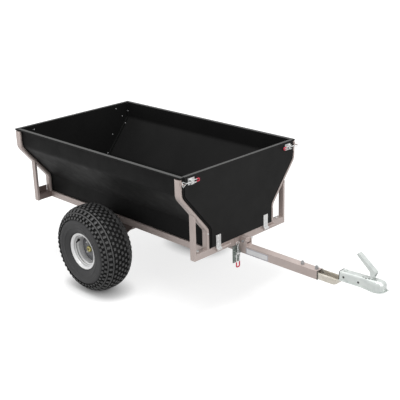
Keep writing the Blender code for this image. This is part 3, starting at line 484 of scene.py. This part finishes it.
def touch(names, start, way):
    # First place where a ray from start meets one of the named nodes, and the normal there
    best = None
    for name in names:
        mesh = nodes[name].data
        mesh.calc_loop_triangles()
        corners = [v.co for v in mesh.vertices]
        tree = BVHTree.FromPolygons(corners, [tuple(t.vertices) for t in mesh.loop_triangles])
        place, normal, _, reach = tree.ray_cast(Vector(start), Vector(way))
        if place is not None and (best is None or reach < best[2]):
            best = (place, normal, reach)
    if best is None:
        raise ValueError("no surface at " + str(start))
    return best[0], best[1]


# Wheels
TYRE_LOW, TYRE_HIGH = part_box("tyre_right")
WHEEL_R = (TYRE_HIGH[0] - TYRE_LOW[0]) / 2
TYRE_HALF = (TYRE_HIGH[1] - TYRE_LOW[1]) / 2
RIM_LOW, RIM_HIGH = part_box("rim_right")
RIM_R = (RIM_HIGH[0] - RIM_LOW[0]) / 2
RIM_HALF = (RIM_HIGH[1] - RIM_LOW[1]) / 2
DISC_LOW, DISC_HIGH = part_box("disc_right")
DISC_FACE = max(abs(DISC_LOW[1]), abs(DISC_HIGH[1])) - 0.0089
SHOULDER_DROP = 0.0390
SHOULDER_AT = TYRE_HALF - 0.019
WALL_SLOPE = 1.77
TREAD_FOOT = 0.2070
CASING_STEPS = 116
RIM_STEPS = 96
HUB_STEPS = 40
# The second material is painted shade in the grooves; the third is the knob tops, worn rubber
# with a painted highlight
GROOVE_SHADE_SLOT, TOP_WEAR_AND_HIGHLIGHT_SLOT = 1, 2      # second and third material of the tyre piece
KNOB_COUNT = 46
KNOB_RISE = 0.0125
KNOB_SINK = 0.0030
KNOB_CLEARANCE = 0.0004     # keeps the knobs inside the tyre solid's box
# Rings of a knob: size as a share of its foot, level as a share of its height
KNOB_RINGS = ((1.0, 0.0), (0.92, 0.84), (0.756, 1.0))
# Rows of knobs: place across the tyre, length round it, width across it, height
KNOB_ROWS = (
    (0.0, 0.0225, 0.0180, KNOB_RISE),
    (0.0232, 0.0220, 0.0175, KNOB_RISE),
    (0.0448, 0.0215, 0.0165, KNOB_RISE),
    (0.0735, 0.0180, 0.0250, KNOB_RISE),
    (0.0955, 0.0175, 0.0180, KNOB_RISE),
    (0.1050, 0.0180, 0.0160, 0.0090),
)
# Ribs round the tyre: place across it, height, half width
RIBS = ((0.0605, 0.0116, 0.0036), (0.0865, 0.0116, 0.0036))
RIB_FLARE = 0.001
# Places across the crown, out to the shoulder, at which the casing has a ring of vertices
CROWN_AT = (0.0, 0.020, 0.038, 0.054, 0.068, 0.080, 0.090, SHOULDER_AT)
# Side wall from the shoulder to the bead: radius, and depth below the widest part
WALL = (
    (0.2035, 0.0036), (0.1980, 0.0012), (0.1900, 0.0), (0.1815, 0.0012), (0.1800, 0.0002),
    (0.1780, 0.0002), (0.1765, 0.0014), (0.1600, 0.0025), (0.1585, 0.0012), (0.1545, 0.0018),
    (0.1530, 0.0042), (0.1400, 0.0085), (0.1290, 0.0140), (0.1262, 0.0150),
)
# Rim in depths below its radius and below its edge: the side at the tyre, then the open side
RIM_OUTER = (
    (0.0, 0.0), (0.0, 0.0028), (0.003, 0.0036), (0.010, 0.0052), (0.0138, 0.0100),
    (0.0138, 0.0340), (0.0200, 0.0360), (0.0260, 0.0400),
)
RIM_INNER = (
    (0.0290, 0.0370), (0.0264, 0.0350), (0.0176, 0.0330), (0.0176, 0.0285), (0.0220, 0.0265),
    (0.0220, 0.0240), (0.0190, 0.0215), (0.0188, 0.0105), (0.0148, 0.0040), (0.0060, 0.0010),
    (0.0030, 0.0),
)
# Painted shade in the rim's groove lies inside this radius, and between these depths below its
# edge
GROOVE_SHADE_RADIUS = RIM_R - 0.0120
GROOVE_SHADE_FROM = 0.0255
GROOVE_SHADE_TO = 0.0340
# Valve: angle on the rim in degrees, foot in depths below the rim's edge and radius, slant in
# parts outward and along the spoke, and (length, radius) stations
VALVE_TURN = 148
VALVE_FOOT = (0.0365, 0.0290)
VALVE_SLANT = (0.92, -0.38)
VALVE = ((0.0, 0.0075), (0.004, 0.0078), (0.009, 0.0058), (0.022, 0.0050), (0.023, 0.0045),
         (0.033, 0.0045), (0.034, 0.0034))
# Hub cap as (radius, share of its depth), dark seat round it, and nuts on the disc's studs
CAP_HOLE = 0.0035
CAP = ((CAP_HOLE, 0.50), (0.0075, 0.62), (0.0085, 0.98), (0.0110, 1.0), (0.0165, 0.93),
       (0.0195, 0.70), (0.0203, 0.30), (0.0206, 0.0), (CAP_HOLE, 0.0))
SEAT_HOLE = 0.0034
SEAT_THICK = 0.0032
SEAT_CHAMFER = (0.001, 0.0008)
NUT_SINK = 0.0004
STUD_COUNT = 4
STUD_CIRCLE = 0.046
STUD = ((-0.004, 0.0048), (0.0125, 0.0048), (0.0135, 0.0036))


def casing_radius(across):
    # Radius at the foot of the knobs: falls with the cube of the distance, then straight
    beyond = max(abs(across) - SHOULDER_AT, 0.0)
    share = min(abs(across) / SHOULDER_AT, 1.0)
    return WHEEL_R - KNOB_RISE - SHOULDER_DROP * share ** 3 - WALL_SLOPE * beyond


def casing_lean(across):
    if abs(across) > SHOULDER_AT:
        slope = WALL_SLOPE
    else:
        slope = 3 * SHOULDER_DROP * across * across / SHOULDER_AT ** 3
    return math.copysign(math.atan(slope), across)


def casing_profile():
    # (radius, distance from the middle) from the crown to the bead inside the rim
    crown = [(casing_radius(w), w) for w in CROWN_AT]
    foot = [(casing_radius(0.1055), 0.1055), (TREAD_FOOT, 0.1100), (0.2050, 0.1125)]
    wall = [(r, TYRE_HALF - depth) for r, depth in WALL]
    bead = [(0.1235, RIM_HALF + 0.0040), (RIM_R + 0.0016, RIM_HALF - 0.0025),
            (RIM_R - 0.008, RIM_HALF - 0.0068), (RIM_R - 0.0132, RIM_HALF - 0.014)]
    return crown + foot + wall + bead


def knob(bm, centre, angle, across, long, wide, rise):
    # Small block that stands square on the casing, with its foot sunk a little; its sides take
    # the painted groove shade and its top the worn knob-top rubber with its painted highlight
    out = Vector((math.cos(angle), 0.0, math.sin(angle)))
    along = Vector((-math.sin(angle), 0.0, math.cos(angle)))
    lean = casing_lean(across)
    stand = out * math.cos(lean) + ACROSS * math.sin(lean)
    flat = ACROSS * math.cos(lean) - out * math.sin(lean)
    foot = centre + out * casing_radius(across) + ACROSS * across - stand * KNOB_SINK
    rings = []
    for size, share in KNOB_RINGS:
        middle = foot + stand * (share * (rise + KNOB_SINK))
        rings.append([bm.verts.new(middle + along * (a * long * size / 2)
                                   + flat * (b * wide * size / 2))
                      for a, b in ((-1, -1), (1, -1), (1, 1), (-1, 1))])
    made = len(bm.faces)
    band(bm, rings[0], rings[1])
    bm.faces.new(rings[0])
    tint(bm, made, GROOVE_SHADE_SLOT)
    band(bm, rings[1], rings[2])
    bm.faces.new(rings[2]).material_index = TOP_WEAR_AND_HIGHLIGHT_SLOT


def rib(bm, centre, across, rise, half):
    # Ridge round the whole tyre, square to the casing, all in the worn knob-top rubber with its
    # painted highlight
    lean = casing_lean(across)
    foot = half + RIB_FLARE
    profile = []
    for step, level in ((-foot, -KNOB_SINK), (-half, rise), (half, rise), (foot, -KNOB_SINK)):
        profile.append((casing_radius(across) + level * math.cos(lean) - step * math.sin(lean),
                        across + level * math.sin(lean) + step * math.cos(lean)))
    made = len(bm.faces)
    revolve(bm, profile, centre, CASING_STEPS)
    tint(bm, made, TOP_WEAR_AND_HIGHLIGHT_SLOT)


def axle_distance(face, centre):
    middle = face.calc_center_median() - centre
    return math.hypot(middle.x, middle.z)


def tyre_piece(centre, word):
    bm = bmesh.new()
    half = casing_profile()
    revolve(bm, [(r, -w) for r, w in half[::-1]] + half[1:], centre, CASING_STEPS)
    for face in bm.faces:
        # Painted shade on the casing between the knobs
        if axle_distance(face, centre) > TREAD_FOOT:
            face.material_index = GROOVE_SHADE_SLOT
    for number, (across, long, wide, rise) in enumerate(KNOB_ROWS):
        for i in range(KNOB_COUNT):
            angle = 2 * math.pi * (i + 0.5 * (number % 2)) / KNOB_COUNT
            for sign in ((1,) if across == 0.0 else (-1, 1)):
                knob(bm, centre, angle, sign * across, long, wide, rise - KNOB_CLEARANCE)
    for across, rise, half_wide in RIBS:
        for sign in (-1, 1):
            rib(bm, centre, sign * across, rise, half_wide)
    obj = piece("tyre_dress_" + word, bm, RUBBER, "wheel_" + word, angle=28)
    obj.data.materials.append(RUBBER_GROOVE_SHADE)
    obj.data.materials.append(RUBBER_TOP_WEAR_AND_HIGHLIGHT)
    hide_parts("tyre_" + word)


def rim_piece(centre, word):
    bm = bmesh.new()
    outer = [(RIM_R - r, RIM_HALF - w) for r, w in RIM_OUTER]
    inner = [(RIM_R - r, RIM_HALF - w) for r, w in RIM_INNER]
    far = [(r, -w) for r, w in outer[::-1] + inner[::-1]]
    revolve(bm, outer + far + inner, centre, RIM_STEPS)
    for face in bm.faces:
        depth = RIM_HALF - abs((face.calc_center_median() - centre).y)
        # Painted shade on the faces of the groove
        if axle_distance(face, centre) < GROOVE_SHADE_RADIUS and GROOVE_SHADE_FROM < depth < GROOVE_SHADE_TO:
            face.material_index = 1
    obj = piece("rim_dress_" + word, bm, RIM, "wheel_" + word, angle=30)
    obj.data.materials.append(RIM_GROOVE_SHADE)
    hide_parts("rim_" + word)


def valve_piece(centre, side, word):
    # Rubber valve on the well of the rim, on the outer side
    bm = bmesh.new()
    turn = math.radians(VALVE_TURN)
    spoke = Vector((math.cos(turn), 0.0, math.sin(turn)))
    out = ACROSS * side
    foot = centre + out * (RIM_HALF - VALVE_FOOT[0]) + spoke * (RIM_R - VALVE_FOOT[1])
    slant = (out * VALVE_SLANT[0] + spoke * VALVE_SLANT[1]).normalized()
    spindle(bm, foot, slant, VALVE, 16)
    piece("valve_" + word, bm, DARK, "wheel_" + word)


def hub_piece(centre, side, word):
    # Pressed cap with a dimple in its middle, and a dark seat round it
    low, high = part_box("hub_cap_" + word)
    seat = min(abs(low[1]), abs(high[1])) - abs(centre.y)
    depth = max(abs(low[1]), abs(high[1])) - abs(centre.y) - seat
    wide = (high[0] - low[0]) / 2
    bm = bmesh.new()
    revolve(bm, [(r, side * (seat + depth * share)) for r, share in CAP], centre, HUB_STEPS)
    cap = piece("hub_cap_dress_" + word, bm, GOLD, "wheel_" + word, angle=40)
    bm = bmesh.new()
    inset, drop = SEAT_CHAMFER
    profile = ((SEAT_HOLE, 0.0), (wide, 0.0), (wide, SEAT_THICK - drop),
               (wide - inset, SEAT_THICK), (SEAT_HOLE, SEAT_THICK))
    revolve(bm, [(r, side * (seat + y)) for r, y in profile], centre, HUB_STEPS)
    seat_ring = piece("hub_seat_" + word, bm, DARK_ZINC, "wheel_" + word, angle=40)
    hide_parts("hub_cap_" + word)
    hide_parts("hub_cap_" + word)


def wheel_nuts(centre, side, word):
    bm = bmesh.new()
    out = ACROSS * side
    face = side * (DISC_FACE - abs(centre.y))
    for i in range(STUD_COUNT):
        t = 2 * math.pi * (i + 0.5) / STUD_COUNT
        foot = centre + Vector((STUD_CIRCLE * math.cos(t), face, STUD_CIRCLE * math.sin(t)))
        hexagon(bm, foot - out * NUT_SINK, out, across=0.0150, height=0.0075,
                washer=(0.0098, 0.0012))
        spindle(bm, foot, out, STUD, 12)
    piece("wheel_nuts_" + word, bm, ZINC, "wheel_" + word, angle=30)


for side, word in SIDES:
    centre = joint("wheel_" + word + "_spin")
    tyre_piece(centre, word)
    rim_piece(centre, word)
    valve_piece(centre, side, word)
    hub_piece(centre, side, word)
    wheel_nuts(centre, side, word)

# Lever latches: flat zinc arms, a bent rod with a dipped red end, and the rivets of the base
ARM_BELOW = 0.030       # reach of the arms on each side of the pivot
ARM_OVER = 0.006
ARM_WIDE = 0.0090
ARM_THICK = 0.0028
ARM_INSET = 0.0015      # middle of an arm, inside the side of the CAD handle
PIVOT_INSET = 0.0002
ROD_INSET = 0.0026
ROD_R = 0.0024
CROSS_BACK = 0.008      # cross rod between the arms, behind the pivot
CROSS_INSET = 0.002
DIP_FROM = 0.002        # the dip starts this far behind the end of the bare rod
DIP_END = 0.0034
RIVET_FACE = 0.0114     # the base's face below the pivot, and places of the rivets on it
RIVET_INSET = 0.006
RIVET_OVER = 0.009
RIVET_ASIDE = 0.0062


def latch_piece(word, body, base_body, place, pivot, grip, tip_u, red_u, tail, bend, dip):
    # place turns (out from the base, along the handle, across it) into x, y, z
    pivot_n, pivot_u, mid_w = pivot
    rod_w = grip - ROD_INSET

    def spot(n, u, w):
        return Vector(place(n, u, w))

    def way(n, u, w):
        return (spot(n, u, w) - spot(0.0, 0.0, 0.0)).normalized()

    bm = bmesh.new()
    arm_low = pivot_u - ARM_BELOW
    arm_high = pivot_u + ARM_OVER
    size = [abs(v) for v in place(ARM_WIDE, arm_high - arm_low, ARM_THICK)]
    for sign in (-1, 1):
        arm_w = mid_w + sign * (grip - ARM_INSET)
        slab(bm, spot(pivot_n, (arm_high + arm_low) / 2, arm_w), size)
        head = spot(pivot_n, pivot_u, mid_w + sign * (grip - PIVOT_INSET))
        dome(bm, head, way(0.0, 0.0, float(sign)), radius=0.0042, height=0.0012)
        prong(bm, [spot(pivot_n, arm_low + ARM_OVER, mid_w + sign * rod_w),
                   spot(pivot_n, red_u, mid_w + sign * rod_w)], ROD_R, 10)
    cross_u = pivot_u - CROSS_BACK
    cross_w = grip - CROSS_INSET
    prong(bm, [spot(pivot_n, cross_u, mid_w - cross_w), spot(pivot_n, cross_u, mid_w + cross_w)],
          ROD_R)
    made = len(bm.faces)
    corners = [(red_u + DIP_FROM, -rod_w), (tip_u + DIP_END, -rod_w),
               (tip_u + DIP_END, rod_w), (red_u + DIP_FROM, rod_w)]
    prong(bm, bent([spot(pivot_n, u, mid_w + w) for u, w in corners], bend), dip)
    tint(bm, made, 1)
    obj = piece("latch_grip_" + word, bm, ZINC, body)
    obj.data.materials.append(RED)
    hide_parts("latch_handle_" + word)
    bm = bmesh.new()
    for u in (pivot_u - tail + RIVET_INSET, pivot_u + RIVET_OVER):
        for sign in (-1, 1):
            foot = spot(pivot_n - RIVET_FACE, u, mid_w + sign * (grip + RIVET_ASIDE))
            dome(bm, foot, way(1.0, 0.0, 0.0), radius=0.0024, height=0.0012, steps=10)
    piece("latch_rivets_" + word, bm, ZINC, base_body)


def gate_place(side):
    return lambda n, u, w: (n, side * u, w)


def tilt_place(n, u, w):
    return (n, w, u)


for side, word in SIDES:
    pin = joint("gate_handle_" + word + "_turn")
    low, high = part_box("latch_handle_gate_" + word)
    tip = min(abs(low[1]), abs(high[1]))
    latch_piece("gate_" + word, "gate_handle_" + word, "gate", gate_place(side),
                (pin.x, abs(pin.y), pin.z), grip=(high[2] - low[2]) / 2, tip_u=tip + 0.008,
                red_u=tip + 0.030, tail=0.034, bend=0.0060, dip=0.0034)
pin = joint("tilt_handle_turn")
low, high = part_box("latch_handle_tilt")
latch_piece("tilt", "tilt_handle", "chassis", tilt_place, (pin.x, pin.z, pin.y),
            grip=(high[1] - low[1]) / 2, tip_u=low[2] + 0.010, red_u=low[2] + 0.043,
            tail=0.062, bend=0.0070, dip=0.0042)

# Drawbar: bolts over the bracket, a band of painted shade round the cut end of the tube, a blank
# pale strip on its side
BAR_LOW, BAR_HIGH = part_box("drawbar")
BAR_HALF = (BAR_HIGH[1] - BAR_LOW[1]) / 2
BAR_MIDDLE = (BAR_HIGH[2] + BAR_LOW[2]) / 2
BAR_BOLTS_BACK = (0.121, 0.023)
BAR_STUD = ((0.014, 0.0048), (0.020, 0.0048), (0.021, 0.0038))
# Section of the painted shade round the tube's end: ahead of the end, and beyond the tube's
# sides
END_PAINTED_SHADE = ((-0.0034, 0.0), (-0.0034, 0.0004), (0.0003, 0.0004), (0.0003, -0.0032),
            (-0.0034, -0.0032))
STRIP_FRONT = BAR_HIGH[0] - 0.351
STRIP_BACK = BAR_HIGH[0] - 0.520
STRIP_DROP = 0.004
STRIP_THICK = 0.0006
STRIP_OUT = (0.0002, 0.0004)        # middles of the border's and the inside's slabs
STRIP_HIGH = 0.040
STRIP_BORDER = 0.006


def drawbar_bolts():
    bm = bmesh.new()
    for back in BAR_BOLTS_BACK:
        x = BAR_HIGH[0] - back
        top = Vector((x, 0.0, BAR_HIGH[2]))
        hexagon(bm, top, UP, across=0.018, height=0.015, washer=(0.0115, 0.0018))
        spindle(bm, top, UP, BAR_STUD, 14)
        below = Vector((x, 0.0, BAR_LOW[2]))
        hexagon(bm, below, -UP, across=0.017, height=0.0065, washer=(0.0125, 0.0018))
    piece("drawbar_bolts", bm, BOLT, "chassis")


def drawbar_end_painted_shade():
    bm = bmesh.new()
    loops = []
    for x, grow in END_PAINTED_SHADE:
        half = BAR_HALF + grow
        loops.append([bm.verts.new((BAR_HIGH[0] + x, a * half, BAR_MIDDLE + b * half))
                      for a, b in ((-1, -1), (1, -1), (1, 1), (-1, 1))])
    hoop(bm, loops)
    piece("drawbar_end_painted_shade", bm, DARK, "chassis", smooth=False)


def blank_strip():
    bm = bmesh.new()
    middle = (STRIP_FRONT + STRIP_BACK) / 2
    long = STRIP_FRONT - STRIP_BACK
    z = BAR_MIDDLE - STRIP_DROP
    slab(bm, (middle, BAR_LOW[1] - STRIP_OUT[0], z), (long, STRIP_THICK, STRIP_HIGH))
    made = len(bm.faces)
    slab(bm, (middle, BAR_LOW[1] - STRIP_OUT[1], z),
         (long - 2 * STRIP_BORDER, STRIP_THICK, STRIP_HIGH - 2 * STRIP_BORDER))
    tint(bm, made, 1)
    strip = piece("blank_strip", bm, PALE, "chassis", smooth=False)
    strip.data.materials.append(PALE_INSIDE)


drawbar_bolts()
drawbar_end_painted_shade()
blank_strip()

# Coupling: nut on top of the hood, dark screw ends in its side holes and dark slots at the foot
# of the lever as painted shade, a painted shadow line along the hood's rear edge, the bolt end,
# and painted shade on the hole in the far wall of the bracket
HOOD_LOW, HOOD_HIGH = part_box("coupling_body")
HOOD_TOP = HOOD_HIGH[2] - 0.0310
HOOD_REAR = HOOD_LOW[0] - 0.0004
HOOD_FOOT = HOOD_LOW[2] + 0.004
HOOD_NUT_AT = Vector((HOOD_LOW[0] + 0.027, 0.0, HOOD_HIGH[2] - 0.0285))
HOOD_SHADOW_R = 0.0018
HOOD_SHADOW_BEND = 0.010
SCREW_Z = BAR_HIGH[2] + 0.0205
SCREWS_ALONG = (0.028, 0.121)
SCREW_SINK = 0.0030
SCREW = ((0.0, 0.0048), (0.0031, 0.0048), (0.0032, 0.0062), (0.0036, 0.0062), (0.0039, 0.0050))
HOOD_SLOTS = ((0.1440, -0.014), (0.1630, -0.018), (0.1810, -0.015))
# Places outside the trailer from which the rays of touch start
FROM_ABOVE = 0.6
FROM_RIGHT = -0.2
FROM_FRONT = 0.5
FROM_REAR = -1.0
HOOD_SIDE_START = (HOOD_LOW[0] + 0.012, FROM_RIGHT, SCREW_Z)
HOOD_SIDE = abs(touch(["coupling_body"], HOOD_SIDE_START, ACROSS)[0].y)
BRACKET_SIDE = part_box("coupler_bracket")[1][1]
BRACKET_WALL = 0.0030
BRACKET_HOLE_START = (BAR_HIGH[0] + 0.0085, 0.0, 0.3845)
BRACKET_BOLT_R = 0.0049


def hood_details():
    bm = bmesh.new()
    hexagon(bm, HOOD_NUT_AT, UP, across=0.015, height=0.007, washer=(0.011, 0.0015))
    piece("hood_nut", bm, STEEL, "chassis")
    bm = bmesh.new()
    # Dark screw ends and slot pads: painted shade in the holes and slots
    for along in SCREWS_ALONG:
        for side, _ in SIDES:
            foot = Vector((HOOD_LOW[0] + along, side * (HOOD_SIDE - SCREW_SINK), SCREW_Z))
            spindle(bm, foot, ACROSS * side, SCREW, 16)
    for along, aside in HOOD_SLOTS:
        start = (HOOD_LOW[0] + along, aside, FROM_ABOVE)
        place, normal = touch(["coupling_body"], start, -UP)
        aslant = normal.cross(AHEAD).normalized()
        oblong(bm, place, AHEAD, aslant, length=0.012, width=0.0058, rise=0.0004)
    piece("hood_screw_holes_and_slots_painted_shade", bm, DARK, "chassis")
    # Painted shadow line along the hood's rear opening
    bm = bmesh.new()
    corners = [(-HOOD_SIDE, HOOD_FOOT), (-HOOD_SIDE, HOOD_TOP), (HOOD_SIDE, HOOD_TOP),
               (HOOD_SIDE, HOOD_FOOT)]
    path = bent([Vector((HOOD_REAR, y, z)) for y, z in corners], HOOD_SHADOW_BEND)
    prong(bm, path, HOOD_SHADOW_R, 8)
    piece("hood_rear_painted_shadow", bm, DARK, "chassis")


def bracket_details():
    bm = bmesh.new()
    place, normal = touch(["coupler_bracket"], BRACKET_HOLE_START, ACROSS)
    # Dark disc of painted shade on the hole
    dome(bm, place, normal, radius=0.0044, height=0.0008)
    piece("bracket_hole_painted_shade", bm, DARK, "chassis")
    bm = bmesh.new()
    foot = Vector((BAR_HIGH[0] + 0.048, BRACKET_SIDE - BRACKET_WALL, BAR_HIGH[2] - 0.015))
    prong(bm, [foot, foot + ACROSS * BRACKET_WALL], BRACKET_BOLT_R, 16)
    piece("bracket_bolt", bm, BRACKET, "chassis")


hood_details()
bracket_details()

# Tub: screws of the gate straps, rivets of the rear panel and its corner strips, a dark pad of
# painted shade on the slot near the top of each front post, a rivet on the post and a bolt on
# the crossbar
GATE_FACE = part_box("gate_panel")[1][0]
STRAP_OFF = 0.0033
STRAP_SCREWS_UP = (0.040, 0.064, 0.088)
CORNER_RIVETS = ((0.4091, 0.8351), (0.4232, 0.7811), (0.3089, 0.7177), (0.2530, 0.5900),
                 (0.4536, 0.8658), (0.3553, 0.8981))
POST_SLOT = (0.4745, 0.849)
POST_RIVET = (0.283, 0.544)
CROSSBAR_BOLT = (0.250, 0.345)


def strap_screws(word):
    low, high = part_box("hinge_strap_" + word)
    bm = bmesh.new()
    for step in STRAP_SCREWS_UP:
        foot = Vector((GATE_FACE + STRAP_OFF, (low[1] + high[1]) / 2, low[2] + step))
        dome(bm, foot, AHEAD, radius=0.0045, height=0.0020)
    piece("strap_screws_" + word, bm, ZINC, "gate")


def corner_rivets(side, word):
    bm = bmesh.new()
    for y, z in CORNER_RIVETS:
        place, normal = touch(["rear_corner_strip_" + word, "rear_panel"],
                              (FROM_REAR, side * y, z), -AHEAD)
        dome(bm, place, normal, radius=0.0048, height=0.0020, steps=12)
    piece("corner_rivets_" + word, bm, BOLT, "tub")


def post_fasteners(side, word):
    bm = bmesh.new()
    start = (FROM_FRONT, side * POST_SLOT[0], POST_SLOT[1])
    place, normal = touch(["post_front_" + word], start, -AHEAD)
    # Dark pad of painted shade on the slot
    oblong(bm, place, UP, normal.cross(UP).normalized(), length=0.014, width=0.0050,
           rise=-0.0004)
    piece("post_slot_painted_shade_" + word, bm, DARK, "tub")
    bm = bmesh.new()
    start = (FROM_FRONT, side * POST_RIVET[0], POST_RIVET[1])
    place, normal = touch(["post_front_" + word], start, -AHEAD)
    dome(bm, place, normal, radius=0.0050, height=0.0022, steps=12)
    start = (CROSSBAR_BOLT[0], side * CROSSBAR_BOLT[1], FROM_ABOVE)
    place, _ = touch(["crossbar_front"], start, -UP)
    hexagon(bm, place, UP, across=0.013, height=0.006, washer=(0.009, 0.0012))
    piece("frame_fasteners_" + word, bm, ZINC, "tub", angle=30)


for side, word in SIDES:
    strap_screws(word)
for side, word in SIDES:
    corner_rivets(side, word)
    post_fasteners(side, word)

# Floor, light and camera
FLOOR_HALF = 30.0
FLOOR_Z = -0.0005
FLOOR_TONE = (0.34, 0.34, 0.34, 1.0)        # as the lamps' light meets it
FLOOR_SEEN = (0.38, 0.38, 0.38, 1.0)        # as the camera and mirrors see it, with a glow added
GLOW = (0.77, 1.0)
GLOW_REACH = (1.2, 4.0)                     # distance from the middle over which the glow grows
# Painted contact shadow: the floor's glow dims within this reach of the trailer
PAINTED_SHADOW_REACH = 0.12
PAINTED_SHADOW_SAMPLES = 16
WORLD_LIGHT = 0.39
WHITE = (1.0, 1.0, 1.0, 1.0)


def seen_rays(tree):
    # One for rays from the camera, mirrors and glass, nought for light that falls on the object
    rays = tree.nodes.new("ShaderNodeLightPath").outputs
    seen = combine(tree, "MAXIMUM", rays["Is Camera Ray"], rays["Is Glossy Ray"])
    return combine(tree, "MAXIMUM", seen, rays["Is Transmission Ray"])


def floor_material():
    # Seen rays get a glow that lifts the floor to white, dimmed by ambient occlusion into a
    # painted contact shadow
    mat, tree, shader = tree_of("studio_floor")
    shader.inputs["Base Color"].default_value = FLOOR_TONE
    shader.inputs["Roughness"].default_value = 0.9
    pale = tree.nodes.new("ShaderNodeBsdfDiffuse")
    pale.inputs["Color"].default_value = FLOOR_SEEN
    distance = tree.nodes.new("ShaderNodeVectorMath")
    distance.operation = "LENGTH"
    tree.links.new(object_coords(tree), distance.inputs[0])
    painted_shadow = tree.nodes.new("ShaderNodeAmbientOcclusion")
    painted_shadow.samples = PAINTED_SHADOW_SAMPLES
    painted_shadow.inputs["Distance"].default_value = PAINTED_SHADOW_REACH
    strength = remap(tree, distance.outputs["Value"], *GLOW, *GLOW_REACH)
    glow = tree.nodes.new("ShaderNodeEmission")
    glow.inputs["Color"].default_value = WHITE
    tree.links.new(combine(tree, "MULTIPLY", strength, painted_shadow.outputs["AO"]),
                   glow.inputs["Strength"])
    add = tree.nodes.new("ShaderNodeAddShader")
    tree.links.new(pale.outputs["BSDF"], add.inputs[0])
    tree.links.new(glow.outputs["Emission"], add.inputs[1])
    choice = tree.nodes.new("ShaderNodeMixShader")
    tree.links.new(seen_rays(tree), choice.inputs["Fac"])
    tree.links.new(shader.outputs["BSDF"], choice.inputs[1])
    tree.links.new(add.outputs["Shader"], choice.inputs[2])
    tree.links.new(choice.outputs["Shader"], tree.nodes["Material Output"].inputs["Surface"])
    return mat


def floor_piece():
    bm = bmesh.new()
    bm.faces.new([bm.verts.new((x * FLOOR_HALF, y * FLOOR_HALF, FLOOR_Z))
                  for x, y in ((-1, -1), (1, -1), (1, 1), (-1, 1))])
    mesh = bpy.data.meshes.new("studio_floor")
    bm.to_mesh(mesh)
    bm.free()
    mesh.materials.append(floor_material())
    obj = bpy.data.objects.new("studio_floor", mesh)
    bpy.context.scene.collection.objects.link(obj)


def studio_world():
    world = bpy.data.worlds.new("studio")
    bpy.context.scene.world = world
    world.use_nodes = True
    tree = world.node_tree
    back = tree.nodes["Background"]
    back.inputs["Color"].default_value = WHITE
    strength = remap(tree, seen_rays(tree), WORLD_LIGHT, 1.0, 0.0, 1.0)
    tree.links.new(strength, back.inputs["Strength"])


def lamp(name, spot, aim, size, power):
    data = bpy.data.lights.new(name, "AREA")
    data.shape = "SQUARE"
    data.size = size
    data.energy = power
    obj = bpy.data.objects.new(name, data)
    obj.location = spot
    obj.rotation_euler = (Vector(aim) - Vector(spot)).to_track_quat("-Z", "Y").to_euler()
    bpy.context.scene.collection.objects.link(obj)


def photo_camera():
    turn = math.radians(CAM_TURN)
    rise = math.radians(CAM_RISE)
    roll = math.radians(CAM_ROLL)
    back = Vector((math.sin(turn) * math.cos(rise), -math.cos(turn) * math.cos(rise),
                   math.sin(rise)))
    flat_right = Vector((math.cos(turn), math.sin(turn), 0.0))
    flat_up = back.cross(flat_right)
    right = flat_right * math.cos(roll) + flat_up * math.sin(roll)
    up = flat_up * math.cos(roll) - flat_right * math.sin(roll)
    data = bpy.data.cameras.new("camera")
    data.lens = CAM_LENS
    data.sensor_width = CAM_SENSOR
    camera = bpy.data.objects.new("camera", data)
    camera.matrix_world = Matrix((
        (right.x, up.x, back.x, CAM_SPOT[0]),
        (right.y, up.y, back.y, CAM_SPOT[1]),
        (right.z, up.z, back.z, CAM_SPOT[2]),
        (0.0, 0.0, 0.0, 1.0)))
    bpy.context.scene.collection.objects.link(camera)
    bpy.context.scene.camera = camera


floor_piece()
studio_world()
lamp("key", spot=(0.2, -1.1, 6.4), aim=(0.0, 0.0, 0.4), size=3.6, power=370.0)
lamp("front_fill", spot=(5.0, -1.6, 3.4), aim=(0.0, 0.0, 0.5), size=3.0, power=112.0)
lamp("side_fill", spot=(-2.0, -2.4, 0.75), aim=(-0.8, -0.3, 0.45), size=1.2, power=8.0)
photo_camera()
bpy.context.scene.view_settings.view_transform = "Standard"
